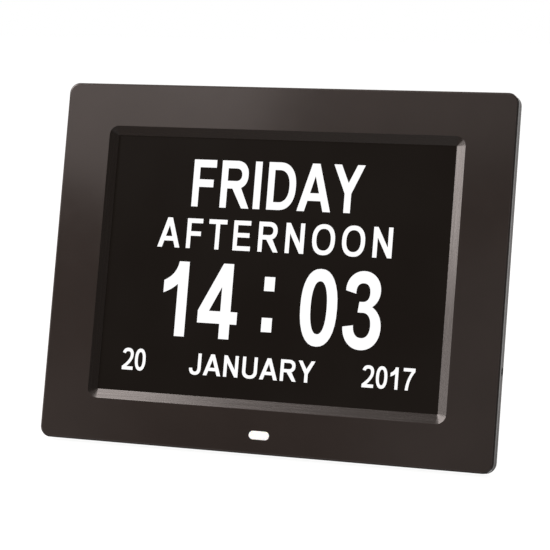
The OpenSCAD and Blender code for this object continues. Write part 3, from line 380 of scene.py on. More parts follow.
bezel_satin = moulded("bezel_satin", roughness=0.13, grain=0.5 * MM, depth=0.003 * MM, patch=0.01)
cover_grain = moulded("cover_grain", roughness=0.52, grain=0.7 * MM, depth=0.05 * MM)
key_smooth = moulded("key_smooth", roughness=0.34, grain=0.4 * MM, depth=0.006 * MM)
chip_mould = moulded("chip_mould", roughness=0.5, grain=0.3 * MM, depth=0.01 * MM,
                     dark=(0.006, 0.006, 0.0065), light=(0.01, 0.01, 0.011))
tray_mould = moulded("tray_mould", roughness=0.5, grain=0.6 * MM, depth=0.01 * MM,
                     dark=(0.72, 0.72, 0.69), light=(0.82, 0.82, 0.79))
rubber = moulded("rubber", roughness=0.8, grain=0.35 * MM, depth=0.05 * MM,
                 dark=(0.008, 0.008, 0.008), light=(0.016, 0.016, 0.016), sheen=0.25)
foam = moulded("foam", roughness=0.95, grain=0.25 * MM, depth=0.2 * MM,
               dark=(0.004, 0.004, 0.004), light=(0.012, 0.012, 0.012), sheen=0.1)
paper = moulded("paper", roughness=0.9, grain=0.6 * MM, depth=0.1 * MM,
                dark=(0.010, 0.010, 0.010), light=(0.024, 0.024, 0.023), sheen=0.2)
ferrite = moulded("ferrite", roughness=0.6, grain=0.5 * MM, depth=0.03 * MM,
                  dark=(0.018, 0.018, 0.020), light=(0.035, 0.035, 0.038))
print("finishes of the case:", [finish.name for finish in (bezel_satin, cover_grain, key_smooth)])

# %% [markdown]
# ## Lined bevel, duller walls and a matt edge
#
# The mould was drawn along the bevel with a fine stone, so the bevel carries hair lines along its
# length. The outer walls slide along the mould when the part is pushed out, so they are duller than
# the face, and hands rub the rounded front edge matt. All belong to the bezel, so its one material
# finds them by place: the bevel lies deeper than the face and inside its own outer edge, the walls
# lie at the outside of the case, and the edge lies between the face and the walls.

# %% Zones of a surface by its place on the case
def along(tree, axis, start=0.0):
    """Distance of the surface along an axis of the case, from a start on it."""
    inputs = {0: place(tree), 1: tuple(axis)}
    far = add(tree, "VectorMath", inputs, operation="DOT_PRODUCT").outputs["Value"]
    return add(tree, "Math", {0: far, 1: float(start)}, operation="SUBTRACT").outputs[0]


def inside(tree, axis, middle, half):
    """1 where the surface lies within half a width of the middle along an axis, otherwise 0."""
    off = add(tree, "Math", {0: along(tree, axis, middle)}, operation="ABSOLUTE").outputs[0]
    return add(tree, "Math", {0: off, 1: float(half)}, operation="LESS_THAN").outputs[0]


def zoned(tree, half):
    """1 inside a rectangle round the middle of the case's face, seen straight on, otherwise 0."""
    wide = inside(tree, ACROSS, BEZEL_MIDDLE[0], half[0])
    high = inside(tree, UP, BEZEL_MIDDLE[2], half[1])
    return add(tree, "Math", {0: wide, 1: high}, operation="MULTIPLY").outputs[0]


def beyond(tree, depth):
    """1 where the surface lies deeper behind the face than the depth, otherwise 0."""
    inputs = {0: along(tree, DEEP, FACE), 1: depth}
    return add(tree, "Math", inputs, operation="GREATER_THAN").outputs[0]


# %% [markdown]
# The lines run along the bevel because the pattern changes fast with the depth and slowly along the
# other two axes. They change the gloss and take the place of the grain in the bump. A Mix node keeps
# its sockets for colours behind those for numbers, so they are named here by their places.

# %% Bevel, edge and walls of the bezel
OPENING = np.array([162.6, 119.6]) * MM
BEVEL = 4.2 * MM
# The bevel's darker colour is painted shade over the recessed bevel, not a colour of the plastic.
BEVEL_PAINTED_SHADE = (0.0120, 0.0082, 0.0060)
BEVEL_GLOSS = (0.15, 0.28)
FACE_SKIN = 0.05 * MM
WALL_ROUGH = 0.38
EDGE = 0.9 * MM
EDGE_ROUGH = 0.80
LINE_FINE = 0.10 * MM
LINE_LONG = 25 * MM
COLOUR_A, COLOUR_B, COLOUR_MIXED = 6, 7, 2


def hair_lines(tree):
    """Random lines along the bevel: the place is stretched, so the noise is fine in depth and long
    across."""
    scales = ((DEEP, LINE_FINE), (ACROSS, LINE_LONG), (UP, LINE_LONG))
    steps = [add(tree, "Math", {0: along(tree, axis), 1: size}, operation="DIVIDE").outputs[0]
             for axis, size in scales]
    stretched = add(tree, "CombineXYZ", dict(zip("XYZ", steps))).outputs[0]
    return add(tree, "TexNoise", {"Vector": stretched, "Scale": 1.0, "Detail": 2.0}).outputs["Fac"]


def zone_finish(material):
    """Gives the bezel's material its bevel, its edge and its walls: each zone's own roughness is mixed
    in. On the bevel the colour is darker, as painted shade, and the lines take the grain's place in the
    bump."""
    tree = material.node_tree
    skin = tree.nodes["Principled BSDF"]
    ring = zoned(tree, OPENING / 2 + BEVEL)
    deep = beyond(tree, FACE_SKIN)
    bevel = add(tree, "Math", {0: ring, 1: deep}, operation="MULTIPLY").outputs[0]
    face = zoned(tree, (BEZEL_HIGH - BEZEL_LOW)[[0, 2]] / 2 - EDGE)
    past = beyond(tree, EDGE)
    outside = add(tree, "Mix", {"Factor": past, "A": EDGE_ROUGH, "B": WALL_ROUGH}).outputs[0]
    lines = hair_lines(tree)
    glossy = between(tree, lines, *BEVEL_GLOSS)
    satin = skin.inputs["Roughness"].links[0].from_socket
    front = add(tree, "Mix", {"Factor": bevel, "A": satin, "B": glossy}).outputs[0]
    mixed = add(tree, "Mix", {"Factor": face, "A": outside, "B": front}).outputs[0]
    tree.links.new(mixed, skin.inputs["Roughness"])
    satin_colour = skin.inputs["Base Color"].links[0].from_socket
    # Painted shade: the bevel gets a darker colour than the face.
    colours = {0: bevel, COLOUR_A: satin_colour, COLOUR_B: (*BEVEL_PAINTED_SHADE, 1)}
    bevel_shaded = add(tree, "Mix", colours, data_type="RGBA").outputs[COLOUR_MIXED]
    tree.links.new(bevel_shaded, skin.inputs["Base Color"])
    bump = skin.inputs["Normal"].links[0].from_node
    grain = bump.inputs["Height"].links[0].from_socket
    height = add(tree, "Mix", {"Factor": bevel, "A": grain, "B": lines}).outputs[0]
    tree.links.new(height, bump.inputs["Height"])


zone_finish(bezel_satin)
print("bevel outside, mm:", np.round((OPENING + 2 * BEVEL) / MM, 1))

# %% [markdown]
# ## Sheet metal
#
# Frame, straps, screws and cans are rolled or drawn metal. Rolling leaves fine lines along the sheet,
# so a noise that is stretched that way changes the colour, the gloss and the bump together.

# %% Metals
ROLLED_LINES = (40, 900, 900)
ROLLED_GLOSS = 0.06
ROLLED_DEPTH = 0.003 * MM


def rolled_metal(name, dark, light, roughness):
    """Sheet metal: lines stretched along the rolling direction change its colour and gloss. The lines
    are as many to the metre along each axis as the scale says."""
    material, tree, skin = new_finish(name, {"Metallic": 1.0})
    stretched = add(tree, "Mapping", {"Vector": place(tree), "Scale": ROLLED_LINES}).outputs[0]
    lines = add(tree, "TexNoise", {"Vector": stretched, "Scale": 1.0, "Detail": 3.0}).outputs["Fac"]
    tree.links.new(shades(tree, lines, dark, light), skin.inputs["Base Color"])
    gloss = between(tree, lines, roughness - ROLLED_GLOSS, roughness + ROLLED_GLOSS)
    tree.links.new(gloss, skin.inputs["Roughness"])
    relief(tree, skin, lines, ROLLED_DEPTH)
    return material


steel = rolled_metal("steel", (0.50, 0.50, 0.51), (0.66, 0.66, 0.66), roughness=0.32)
can_metal = rolled_metal("can_metal", (0.62, 0.62, 0.64), (0.74, 0.74, 0.75), roughness=0.28)
zinc_dull = rolled_metal("zinc_dull", (0.24, 0.24, 0.25), (0.34, 0.34, 0.35), roughness=0.46)
zinc_black = rolled_metal("zinc_black", (0.055, 0.055, 0.058), (0.10, 0.10, 0.105), roughness=0.34)
print("metals:", [metal.name for metal in (steel, can_metal, zinc_dull, zinc_black)])

# %% [markdown]
# ## Boards and clear mouldings
#
# The pieces inside are seen only through slots, or when the clock is taken apart. Each still has the
# finish that it has on the bench: green lacquer over copper tracks, amber film, and clear or milky
# mouldings, of which the status window in front is one. Light enters such a moulding and scatters,
# so it has subsurface light instead of a glassy skin.

# %% Finishes of the boards and the clear pieces
TRACK_GRID = 2.2 * MM
TRACK_EDGE = (0.44, 0.47)
TRACK_RISE = 0.03 * MM
LACQUER = (0.006, 0.075, 0.028)
LACQUER_ON_COPPER = (0.015, 0.13, 0.05)
SCATTER = 1.5 * MM
HAZE_SIZE = 3 * MM
CLEAR_GRAIN = 0.5 * MM
CLEAR_DEPTH = 0.004 * MM
LAMP_WHITE = (1.0, 0.98, 0.95, 1)


def lacquered_board(name):
    """Circuit board: green lacquer, paler and a little higher where copper tracks run under it."""
    material, tree, skin = new_finish(name, {"Roughness": 0.3})
    tracks = between(tree, squares(tree, TRACK_GRID), 0.0, 1.0, *TRACK_EDGE)
    tree.links.new(shades(tree, tracks, LACQUER, LACQUER_ON_COPPER), skin.inputs["Base Color"])
    relief(tree, skin, tracks, TRACK_RISE)
    return material


def clear_moulding(name, dark, light, roughness, through, lit=0.0):
    """Milky or clear moulding: light scatters under its skin, and a lamp behind it may light it."""
    inputs = {"Roughness": roughness, "Subsurface Weight": through, "Subsurface Scale": SCATTER,
              "Emission Color": LAMP_WHITE, "Emission Strength": lit}
    material, tree, skin = new_finish(name, inputs)
    tree.links.new(shades(tree, cloud(tree, HAZE_SIZE), dark, light), skin.inputs["Base Color"])
    relief(tree, skin, cloud(tree, CLEAR_GRAIN), CLEAR_DEPTH)
    return material


board_green = lacquered_board("board_green")
milk = clear_moulding("milk", (0.84, 0.83, 0.81), (0.90, 0.89, 0.87), roughness=0.35, through=0.3,
                      lit=0.25)
clear = clear_moulding("clear", (0.74, 0.77, 0.79), (0.82, 0.84, 0.86), roughness=0.12, through=0.5)
film = clear_moulding("film", (0.36, 0.17, 0.025), (0.46, 0.23, 0.04), roughness=0.25, through=0.1)
print("boards and clear pieces:", [finish.name for finish in (board_green, milk, clear, film)])

# %% [markdown]
# ## Screen
#
# The glass of the screen is dark where no letter is lit. It is anti-glare glass: its gloss is low
# and blurred. It glows faintly and unevenly: partly the backlight that leaks through it, and partly
# painted light that stands in for the lamps' light on the glass, so the rim casts no shade on it.

# %% Finish of the screen
GLOW_BLOTCH_SIZE = 45 * MM
# Glow of the glass: backlight leak plus painted light in place of the lamps' light on it.
LEAK_AND_PAINTED_LIGHT_LOW = (0.0100, 0.0075, 0.0061)
LEAK_AND_PAINTED_LIGHT_HIGH = (0.0112, 0.0087, 0.0071)
GLASS_DARK = (0.0005, 0.0004, 0.0004)
GLASS_LIGHT = (0.0008, 0.0007, 0.0007)
GLARE_GRAIN = 0.15 * MM
GLARE_DEPTH = 0.0015 * MM


def dark_glass(name):
    """Anti-glare glass over a dark picture: its faint uneven glow is backlight and painted light."""
    inputs = {"Specular IOR Level": 0.03, "Roughness": 0.18, "Emission Strength": 1.0}
    material, tree, skin = new_finish(name, inputs)
    glow_blotches = cloud(tree, GLOW_BLOTCH_SIZE)
    # Painted light: the glow also stands in for the lamps' light on the glass.
    tree.links.new(shades(tree, glow_blotches, LEAK_AND_PAINTED_LIGHT_LOW, LEAK_AND_PAINTED_LIGHT_HIGH), skin.inputs["Emission Color"])
    tree.links.new(shades(tree, glow_blotches, GLASS_DARK, GLASS_LIGHT), skin.inputs["Base Color"])
    relief(tree, skin, cloud(tree, GLARE_GRAIN), GLARE_DEPTH)
    return material


screen_glass = dark_glass("screen_glass")
print("screen:", screen_glass.name)

# %% [markdown]
# ## A finish for every solid
#
# Each solid is one moulding, sheet or board, so one finish covers it. A table that lists the solids
# under their finish is easy to check against a list of parts, and the last line prints any solid
# that was forgotten.

# %% Finish of every solid
KEYS = ("power", "menu", "up", "down", "left", "right", "exit")
FINISHES = {
    bezel_satin: ["front_bezel"],
    cover_grain: ["rear_cover", "stand_leg"],
    key_smooth: [key + "_button" for key in KEYS],
    rubber: ["foot_pads", "leg_boot"],
    foam: ["screen_gasket"],
    screen_glass: ["lcd_cell"],
    milk: ["status_window"],
    clear: ["light_guide", "status_led"],
    tray_mould: ["backlight_tray", "flex_socket"],
    film: ["lcd_flex", "led_bar"],
    board_green: ["main_board", "button_board", "status_board", "power_board"],
    can_metal: ["supply_capacitors", "clock_crystal"],
    steel: ["lcd_frame", "strap_screws", "board_screws", "socket_contact"],
    zinc_dull: ["coin_cell", "lcd_straps", "left_speaker_basket", "right_speaker_basket"],
    zinc_black: ["case_screws", "hinge_pin", "hinge_washers"],
    chip_mould: ["processor", "memory_chip", "supply_coil", "cell_holder", "switch_bodies",
                 "power_socket"] + [key + "_stem" for key in KEYS],
    ferrite: ["left_speaker_magnet", "right_speaker_magnet"],
    paper: ["left_speaker_cone", "right_speaker_cone"],
}
for finish, nodes in FINISHES.items():
    for node in nodes:
        frame["nodes"][node].data.materials.clear()
        frame["nodes"][node].data.materials.append(finish)
dressed = {node for nodes in FINISHES.values() for node in nodes}
print("solids with a finish:", len(dressed), "without:", sorted(set(frame["nodes"]) - dressed))

# %% [markdown]
# ## Readout: ribbons
#
# The clock shows the day, the part of the day, the time and the date in plain upright capitals.
# A font file isn't needed: each letter is a few strokes, and each stroke is a ribbon between two
# edges. A straight stroke has two straight edges. A bowl lies between two rounded arcs.

# %% Ribbons that letters are made of
ARC_POINTS = 33
SWEEP_POINTS = 17


def line(*points):
    """Edge through the given corners."""
    return np.array(points, float)


def bar(x0, y0, x1, y1):
    """Upright or level bar: its left and its right edge."""
    return line((x0, y0), (x0, y1)), line((x1, y0), (x1, y1))


def arc(x, y, across, rise, start, stop, square=2.3):
    """Arc of a superellipse: each coordinate is the radius times the cosine or sine of the turn,
    kept in sign and raised to 2 over the squareness."""
    turn = np.radians(np.linspace(start, stop, ARC_POINTS))
    wide, high = np.cos(turn), np.sin(turn)
    power = 2 / square
    return np.stack([x + across * np.sign(wide) * np.abs(wide) ** power,
                     y + rise * np.sign(high) * np.abs(high) ** power], axis=-1)


def hoop(x, y, across, rise, stem, level, start, stop):
    """Bowl between two arcs: the inner one is smaller by a stem across and by a bar in height."""
    return (arc(x, y, across, rise, start, stop),
            arc(x, y, across - stem, rise - level, start, stop))


def sweep(a, b, c):
    """Edge that leaves a towards b and ends at c: the curve (1-t)^2 a + 2 t (1-t) b + t^2 c."""
    t = np.linspace(0, 1, SWEEP_POINTS)[:, None]
    a, b, c = np.array(a), np.array(b), np.array(c)
    return (1 - t) ** 2 * a + 2 * t * (1 - t) * b + t ** 2 * c


# %% [markdown]
# ## Readout: capitals and digits
#
# A type designer draws each letter in a box of its own width and height, and that is done here: a
# number times w or h is a share of the box, so one drawing serves every size. The stems and the bars
# have their own thickness, because a stretched line of letters keeps its bars as they are.

# %% Capitals
def capitals(w, h, s, b):
    """Ribbons of each capital, w wide and h high, with upright stems s wide and level bars b high."""
    half, waist, arm = w / 2, 0.42 * h, 0.44 * h
    knee, turn = waist - 0.01 * h, 0.4 * w
    leg, peak = 1.15 * s, 0.74 * h
    neck, fork = 0.40 * h, 0.62 * h
    slope = (half - leg) / peak
    cross = np.array([0.22 * h, 0.22 * h + b])
    return {
        "I": [bar(0, 0, w, h)],
        "F": [bar(0, 0, s, h), bar(s, h - b, w, h), bar(s, waist, 0.91 * w, waist + b)],
        "E": [bar(0, 0, s, h), bar(s, h - b, 0.97 * w, h), bar(s, arm, 0.92 * w, arm + b),
              bar(s, 0, w, b)],
        "T": [bar(0, h - b, w, h), bar(half - s / 2, 0, half + s / 2, h - b)],
        "D": [bar(0, 0, s, h), bar(s, h - b, turn, h), bar(s, 0, turn, b),
              hoop(turn, h / 2, 0.6 * w, h / 2, s, b, -90, 90)],
        "R": [bar(0, 0, s, h), bar(s, h - b, half, h), bar(s, knee, half, knee + b),
              hoop(half, (h + knee) / 2, 0.42 * w, (h - knee) / 2, s, b, -90, 90),
              (line((w - leg, 0), (0.40 * w, knee)), line((w, 0), (0.68 * w, waist + 0.03 * h)))],
        "A": [(line((0, 0), (half - leg / 2, h)), line((leg, 0), (half, peak), (half, h))),
              (line((w, 0), (half + leg / 2, h)), line((w - leg, 0), (half, peak), (half, h))),
              (np.stack([leg + slope * cross, cross], axis=-1),
               np.stack([w - leg - slope * cross, cross], axis=-1))],
        "Y": [(line((0, h), (half - s / 2, neck), (half - s / 2, 0)),
               line((leg, h), (half, fork), (half, 0))),
              (line((w, h), (half + s / 2, neck), (half + s / 2, 0)),
               line((w - leg, h), (half, fork), (half, 0)))],
        "N": [bar(0, 0, s, h), bar(w - s, 0, w, h),
              (line((s, 0.66 * h), (w - s, 0)), line((s, h), (w - s, 0.34 * h)))],
        "O": [hoop(half, h / 2, half, 0.51 * h, s, b, 0, 360)],
        "J": [bar(w - s, 0.32 * h, w, h), hoop(half, 0.32 * h, half, 0.335 * h, s, b, -178, 0)],
        "U": [bar(0, 0.34 * h, s, h), bar(w - s, 0.34 * h, w, h),
              hoop(half, 0.34 * h, half, 0.35 * h, s, b, -180, 0)],
    }


# %% Digits
def digits(w, h, s, b):
    """Ribbons of each digit and of the colon, in the same box and with the same stems and bars."""
    half, post, shelf = w / 2, 0.57 * w, 0.2 * h
    upper = (arc(0.485 * w, 0.760 * h, 0.457 * w, 0.252 * h, 182, -55.8, 2.05),
             arc(0.483 * w, 0.731 * h, 0.459 * w - s, 0.2835 * h - b, 187, -90))
    lower = (arc(half, 0.281 * h, half, 0.299 * h, 63, -179, 2.1),
             arc(half, 0.304 * h, half - s, 0.327 * h - b, 90, -179))
    tongue = line((0.40 * w, 0.4475 * h + b), (0.37 * w, 0.631 * h - b))
    return {
        "0": [hoop(half, h / 2, half, 0.51 * h, s, b, 0, 360)],
        "1": [bar(w - s, 0, w, h),
              (sweep((0, 0.575 * h), (0.35 * w, 0.62 * h), (w - s, 0.70 * h)),
               sweep((0, 0.74 * h), (0.5 * w, 0.82 * h), (w - s, h)))],
        "2": [bar(0, 0, w, b),
              (np.concatenate([arc(half, 0.715 * h, half, 0.295 * h, 168, -8),
                               sweep((0.99 * w, 0.66 * h), (0.95 * w, 0.43 * h), (0.40 * w, b))]),
               np.concatenate([arc(half, 0.715 * h, half - s, 0.295 * h - b, 168, -8),
                               sweep((w - s, 0.67 * h), (0.70 * w, 0.45 * h), (0, b))]))],
        "3": [(np.concatenate([upper[0], lower[0]]), np.concatenate([upper[1], tongue, lower[1]]))],
        "4": [bar(post, 0, post + s, h), bar(0, shelf, post, shelf + b),
              bar(post + s, shelf, w, shelf + b),
              (line((0, shelf + b), (post, h)), line((0.28 * w, shelf + b), (post, 0.69 * h)))],
        "7": [bar(0, h - b, w, h),
              (sweep((0.2 * w, 0), (0.25 * w, 0.45 * h), (0.70 * w, h - b)),
               sweep((0.2 * w + s, 0), (0.5 * w, 0.5 * h), (w, h - b)))],
        ":": [bar(0, 0.135 * h, w, 0.32 * h), bar(0, 0.666 * h, w, 0.851 * h)],
    }


# %% [markdown]
# ## Readout: lines
#
# A letter's width and the space on each side of it are shares of its height, as in any font. Each
# line of the readout has its own height, is stretched sideways by its own amount and has its own
# weight of stroke. Its ends and its base are measured on the case, in millimetres right of the face's
# left edge and below its top edge, and the space that is left over goes between the letters.

# %% Widths of the letters and lines of the readout
WIDTHS = {  # Letter: space before it, width and space after it.
    "A": (0.0, 0.726, 0.0), "D": (0.07, 0.615, 0.04), "E": (0.07, 0.56, 0.035),
    "F": (0.07, 0.504, 0.047), "I": (0.07, 0.149, 0.07), "J": (0.02, 0.48, 0.065),
    "N": (0.07, 0.589, 0.07), "O": (0.04, 0.714, 0.04), "R": (0.07, 0.646, 0.01),
    "T": (0.015, 0.585, 0.015), "U": (0.065, 0.603, 0.065), "Y": (0.01, 0.669, 0.01),
    "0": (0.045, 0.502, 0.045), "1": (0.08, 0.341, 0.17), "2": (0.03, 0.515, 0.045),
    "3": (0.03, 0.513, 0.05), "4": (0.02, 0.553, 0.02), "7": (0.045, 0.515, 0.04),
    ":": (0.0, 0.157, 0.0),
}
STEM = 0.15
BAR = 0.172
READOUT = {  # Piece: its runs of text, each with left end, right end, base, height, stretch and weight.
    "readout_day": [("FRIDAY", 65.26, 147.66, 56.3, 22.0, 1.0, 0.94)],
    "readout_part": [("AFTERNOON", 50.08, 162.74, 75.84, 13.9, 1.09, 0.88)],
    "readout_time": [("14", 55.06, 92.03, 116.93, 34.75, 1.0, 0.95),
                     (":", 104.05, 108.95, 117.22, 35.3, 0.9, 1.0),
                     ("03", 121.96, 160.2, 117.15, 34.6, 1.0, 0.94)],
    "readout_date": [("20", 37.44, 49.02, 133.98, 10.05, 1.05, 0.90),
                     ("JANUARY", 70.79, 131.17, 134.0, 9.8, 1.21, 0.88),
                     ("2017", 153.4, 177.62, 134.18, 9.9, 1.05, 0.88)],
}


def set_line(text, left, right, base, height, stretch, weight):
    """Ribbons of a line of letters, in mm right of the face's left edge and above its top. The space
    that is left between the line's ends is shared evenly between its letters."""
    shares = np.array([WIDTHS[letter] for letter in text]) * height * stretch
    shares[0, 0] = shares[-1, 2] = 0.0
    apart = (right - left - shares.sum()) / max(len(text) - 1, 1)
    starts = left + np.cumsum(shares[:, 0] + np.r_[0.0, shares[:-1, 1:].sum(axis=1) + apart])
    stem, level = weight * STEM * height * stretch, weight * BAR * height
    ribbons = []
    for letter, start, wide in zip(text, starts, shares[:, 1]):
        drawn = capitals(wide, height, stem, level) | digits(wide, height, stem, level)
        ribbons += [tuple(edge + (start, -base) for edge in edges) for edges in drawn[letter]]
    return ribbons


# %% [markdown]
# ## From ribbons to a piece
#
# A ribbon is a grid of two columns, so its faces are the steps from row to row. The two edges first
# get as many points each, and the ribbon is turned to face its reader. A piece then needs its finish
# and the body that it moves with. A flat layer also needs a thickness, and the Solidify modifier
# gives it one.

# %% Meshes and pieces
SEAM = 0.001 * MM


def even(edge, count):
    """The same edge with more points: straight steps in between, spread evenly along the rows."""
    rows, at = np.linspace(0, len(edge) - 1, count), np.arange(len(edge))
    return np.stack([np.interp(rows, at, edge[:, 0]), np.interp(rows, at, edge[:, 1])], axis=-1)


def facing(first, second):
    """The two edges, with as many points each, in the order that turns the ribbon to its reader: the
    area inside them, half the sum of the cross products of neighbours, is then positive."""
    count = max(len(first), len(second))
    first, second = even(first, count), even(second, count)
    ring = np.concatenate([second, first[::-1]])
    after = np.roll(ring, -1, axis=0)
    area = np.sum(ring[:, 0] * after[:, 1] - ring[:, 1] * after[:, 0])
    return (first, second) if area > 0 else (second, first)


def ribbon_mesh(name, ribbons, put):
    """Mesh of ribbons: each is a grid of two columns, whose neighbours make four-sided faces, and
    put places the flat points in the row frame."""
    points, faces, base = [], [], 0
    for edges in ribbons:
        first, second = facing(*edges)
        count = len(first)
        points.append(np.concatenate([first, second]))
        row = np.arange(count - 1) + base
        faces.append(np.stack([row, row + count, row + count + 1, row + 1], axis=-1))
        base += 2 * count
    flat = np.concatenate(points)
    mesh = bpy.data.meshes.new(name)
    mesh.from_pydata(put(flat[:, 0], flat[:, 1]).tolist(), [], np.concatenate(faces).tolist())
    return mesh


def dress(name, mesh, material, body):
    """New piece: its material and the body that it moves with."""
    mesh.materials.append(material)
    piece = bpy.data.objects.new(name, mesh)
    bpy.context.scene.collection.objects.link(piece)
    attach(piece, body)
    return piece


def thicken(piece, thickness):
    """Closes the seams of a flat layer and gives it its thickness, on the side away from its reader."""
    piece.modifiers.new("seams", "WELD").merge_threshold = SEAM
    layer = piece.modifiers.new("layer", "SOLIDIFY")
    layer.thickness = thickness
    layer.offset = -1


# %% [markdown]
# ## Readout: lit letters
#
# The letters are lit from behind through the dots of the picture, which are finer than the eye can
# part. They shine by emission, so no lamp is needed for them. They lie on the glass as a layer thinner
# than a hair, because two surfaces in one plane would flicker.

# %% Lines of the readout
LAYER = 0.04 * MM
DOT = 0.2 * MM
DOT_EDGE = (0.38, 0.5)
DOT_LIT, GAP_LIT = (1.0, 1.0, 1.0), (0.94, 0.94, 0.95)
DOT_DARK, GAP_DARK = (0.05, 0.05, 0.05), (0.02, 0.02, 0.02)


def lit_letters(name):
    """Backlit white: the picture's fine square dots dim it a little between them."""
    inputs = {"Roughness": 0.3, "Emission Strength": 1.0, "Specular IOR Level": 0.12}
    material, tree, skin = new_finish(name, inputs)
    dots = squares(tree, DOT)
    tree.links.new(shades(tree, dots, DOT_LIT, GAP_LIT, *DOT_EDGE), skin.inputs["Emission Color"])
    tree.links.new(shades(tree, dots, DOT_DARK, GAP_DARK), skin.inputs["Base Color"])
    return material


def on_glass(right, up):
    """Row-frame points just in front of the glass, from mm right of the face's left edge and above
    its top."""
    depth = np.full(len(right), GLASS_FRONT - LAYER)
    return in_row(np.stack([LEFT + right * MM, depth, TOP + up * MM], axis=-1))


letters_white = lit_letters("letters_white")
for name, runs in READOUT.items():
    mesh = ribbon_mesh(name, [edges for run in runs for edges in set_line(*run)], on_glass)
    thicken(dress(name, mesh, letters_white, "case"), LAYER / 2)
    print(name, "faces:", len(mesh.polygons))

# %% [markdown]
# ## Signs on the keys
#
# Seven keys on the back set the clock. Such keys carry printed signs and no words: power, menu, four
# arrows and back. The same ribbons make them, laid on each key's top, so they move with the key.
# A reader of the back looks from behind, so right on the print is left on the case.

# %% Drawings of the signs, in mm
SIGN = 1.7
SIGN_LINE = 0.36
ARROW_REACH, ARROW_HALF, ARROW_BACK = 0.85 * SIGN, 0.80 * SIGN, 0.6 * 0.85 * SIGN
POWER_ARC = (122, 418)
MENU_HALF, MENU_STEP = 0.8 * SIGN, 0.62 * SIGN
RETURN_RING = 0.75 * SIGN
RETURN_RAIL = RETURN_RING - SIGN_LINE / 2
RETURN_ARROW = 0.42


def arrow(turn):
    """Triangle that points along an angle: two edges from the middle of its base to its tip."""
    cosine, sine = np.cos(np.radians(turn)), np.sin(np.radians(turn))
    spin = np.array([[cosine, sine], [-sine, cosine]])
    tip = (ARROW_REACH, 0.0)
    return (line((-ARROW_BACK, ARROW_HALF), tip) @ spin, line((-ARROW_BACK, -ARROW_HALF), tip) @ spin)


def ring(radius, start, stop):
    """Round line of the sign's width between two angles."""
    return hoop(0, 0, radius, radius, SIGN_LINE, SIGN_LINE, start, stop)


def level_bar(y, x0=-MENU_HALF, x1=MENU_HALF):
    """Level line of the sign's width at a height."""
    return bar(x0, y - SIGN_LINE / 2, x1, y + SIGN_LINE / 2)


SIGNS = {
    "power": [ring(SIGN, *POWER_ARC), bar(-SIGN_LINE / 2, 0.15 * SIGN, SIGN_LINE / 2, 1.1 * SIGN)],
    "menu": [level_bar(MENU_STEP), level_bar(0.0), level_bar(-MENU_STEP)],
    "up": [arrow(90)],
    "down": [arrow(-90)],
    "left": [arrow(180)],
    "right": [arrow(0)],
    "exit": [ring(RETURN_RING, -90, 90), level_bar(-RETURN_RAIL, -0.7 * SIGN, 0),
             level_bar(RETURN_RAIL, -0.5 * SIGN, 0),
             tuple(RETURN_ARROW * edge + (-RETURN_RING, RETURN_RAIL) for edge in arrow(180))],
}
print("signs:", len(SIGNS))

# %% Signs printed on the keys
PRINT = 0.03 * MM
INK_THIN, INK_FULL = (0.42, 0.42, 0.41), (0.58, 0.58, 0.57)
INK_WEAR = 0.5 * MM


def key_print(name):
    """Pad print: pale grey ink, a little thinner in places."""
    material, tree, skin = new_finish(name, {"Roughness": 0.55})
    worn = cloud(tree, INK_WEAR, detail=3.0)
    tree.links.new(shades(tree, worn, INK_THIN, INK_FULL), skin.inputs["Base Color"])
    return material


def on_key(key):
    """Placing of flat points on a key's top, read from behind the case."""
    low, high = case_span(key + "_button")
    middle = (low + high) / 2

    def put(right, up):
        """Row-frame points just outside the key's top."""
        depth = np.full(len(right), high[1] + PRINT)
        return in_row(np.stack([middle[0] - right * MM, depth, middle[2] + up * MM], axis=-1))

    return put


ink = key_print("ink")
for key, ribbons in SIGNS.items():
    mesh = ribbon_mesh("sign_" + key, ribbons, on_key(key))
    thicken(dress("sign_" + key, mesh, ink, key + "_key"), PRINT / 2)
    print("sign_" + key, "faces:", len(mesh.polygons))

# %% [markdown]
# ## Case screws
#
# Four pan-head screws sit in wells at the corners of the back. The solids are plain pegs with a
# head. A cross recess is what makes them screws to the eye. Each is one surface of revolution: a
# profile from the tip to the middle of the head, carried round the axis. The recess is pressed
# into the head by a formula, so no cut is needed.

# %% Surface of one screw
PROFILE_TURNS = 96
DOME_ROWS = 28
DOME_START = 0.62
RECESS_ARM = 0.62
RECESS_HALF = 0.17
RECESS_SOFT = 0.10
RECESS_DEEP = 0.42


def step(value, edge, soft):
    """Smooth step from 1 below the edge to 0 above it, over a soft width: 3 t^2 - 2 t^3."""
    t = np.clip((edge - value) / soft + 0.5, 0, 1)
    return t * t * (3 - 2 * t)


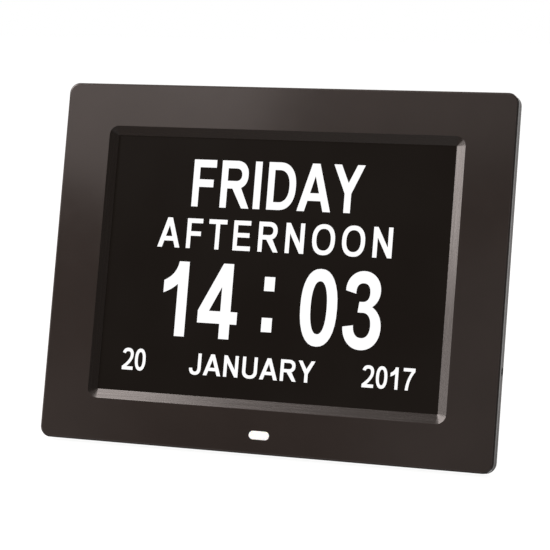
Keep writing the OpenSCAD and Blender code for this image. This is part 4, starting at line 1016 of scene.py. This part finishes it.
def screw_grid(shank, head, height, length):
    """Points of one screw along its axis: the profile's radius and height, row by row, times the
    cosine and sine of the turn. The dome of the head falls with the square of the radius, and the
    recess is two crossing bars whose depth fades at their ends. The numbers in the profile are shares
    of the shank, of the head and of its height."""
    peg = np.array([(0.0, -length), (0.55 * shank, -length), (shank, 0.6 * shank - length), (shank, 0.0),
                    (0.97 * head, 0.0), (head, 0.12 * height)])
    share = np.linspace(1, 0, DOME_ROWS)
    crown = height * (DOME_START + (1 - DOME_START) * (1 - share ** 2))
    dome = np.stack([0.985 * head * share, crown], axis=-1)
    radius, rise = np.concatenate([peg, dome]).T[:, :, None]
    turn = np.linspace(0, 2 * np.pi, PROFILE_TURNS, endpoint=False)
    x, y = radius * np.cos(turn), radius * np.sin(turn)
    arm, half, soft = RECESS_ARM * head, RECESS_HALF * head, RECESS_SOFT * head
    bars = np.maximum(step(np.abs(x), arm, soft) * step(np.abs(y), half, soft),
                      step(np.abs(y), arm, soft) * step(np.abs(x), half, soft))
    bars[:len(peg)] = 0.0
    return x, y, rise - RECESS_DEEP * height * bars


# %% Four screws in their wells
SCREW_HEAD = 2.5 * MM
SCREW_RISE = 1.8 * MM
SCREW_SHANK = 1.3 * MM
POLE = 0.005 * MM


def wrapped_faces(rows, turns, base):
    """Four-sided faces between neighbours of a grid that closes on itself along its rows."""
    index = np.arange(rows * turns).reshape(rows, turns) + base
    after = np.roll(index, -1, axis=1)
    return np.stack([index[:-1], after[:-1], after[1:], index[1:]], axis=-1).reshape(-1, 4)


def screw_mesh(name, node, head, height, shank):
    """All screws of a node: one grid for each corner of the case that holds one."""
    low, high = case_span(node)
    seat = high[1] - height
    x, y, rise = screw_grid(shank, head, height, seat - low[1])
    corners = [(across, up) for across in (low[0] + head, high[0] - head)
               for up in (low[2] + head, high[2] - head)]
    grids = [in_row(np.stack([x + across, rise + seat, up - y], axis=-1)).reshape(-1, 3)
             for across, up in corners]
    faces = [wrapped_faces(*x.shape, number * x.size) for number in range(len(corners))]
    mesh = bpy.data.meshes.new(name)
    mesh.from_pydata(np.concatenate(grids).tolist(), [], np.concatenate(faces).tolist())
    mesh.polygons.foreach_set("use_smooth", np.ones(len(mesh.polygons), bool))
    return mesh


mesh = screw_mesh("case_screw_set", "case_screws", SCREW_HEAD, SCREW_RISE, SCREW_SHANK)
screws = dress("case_screw_set", mesh, zinc_black, "case")
screws.modifiers.new("poles", "WELD").merge_threshold = POLE
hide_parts("case_screws")
print("screw faces:", len(screws.data.polygons))
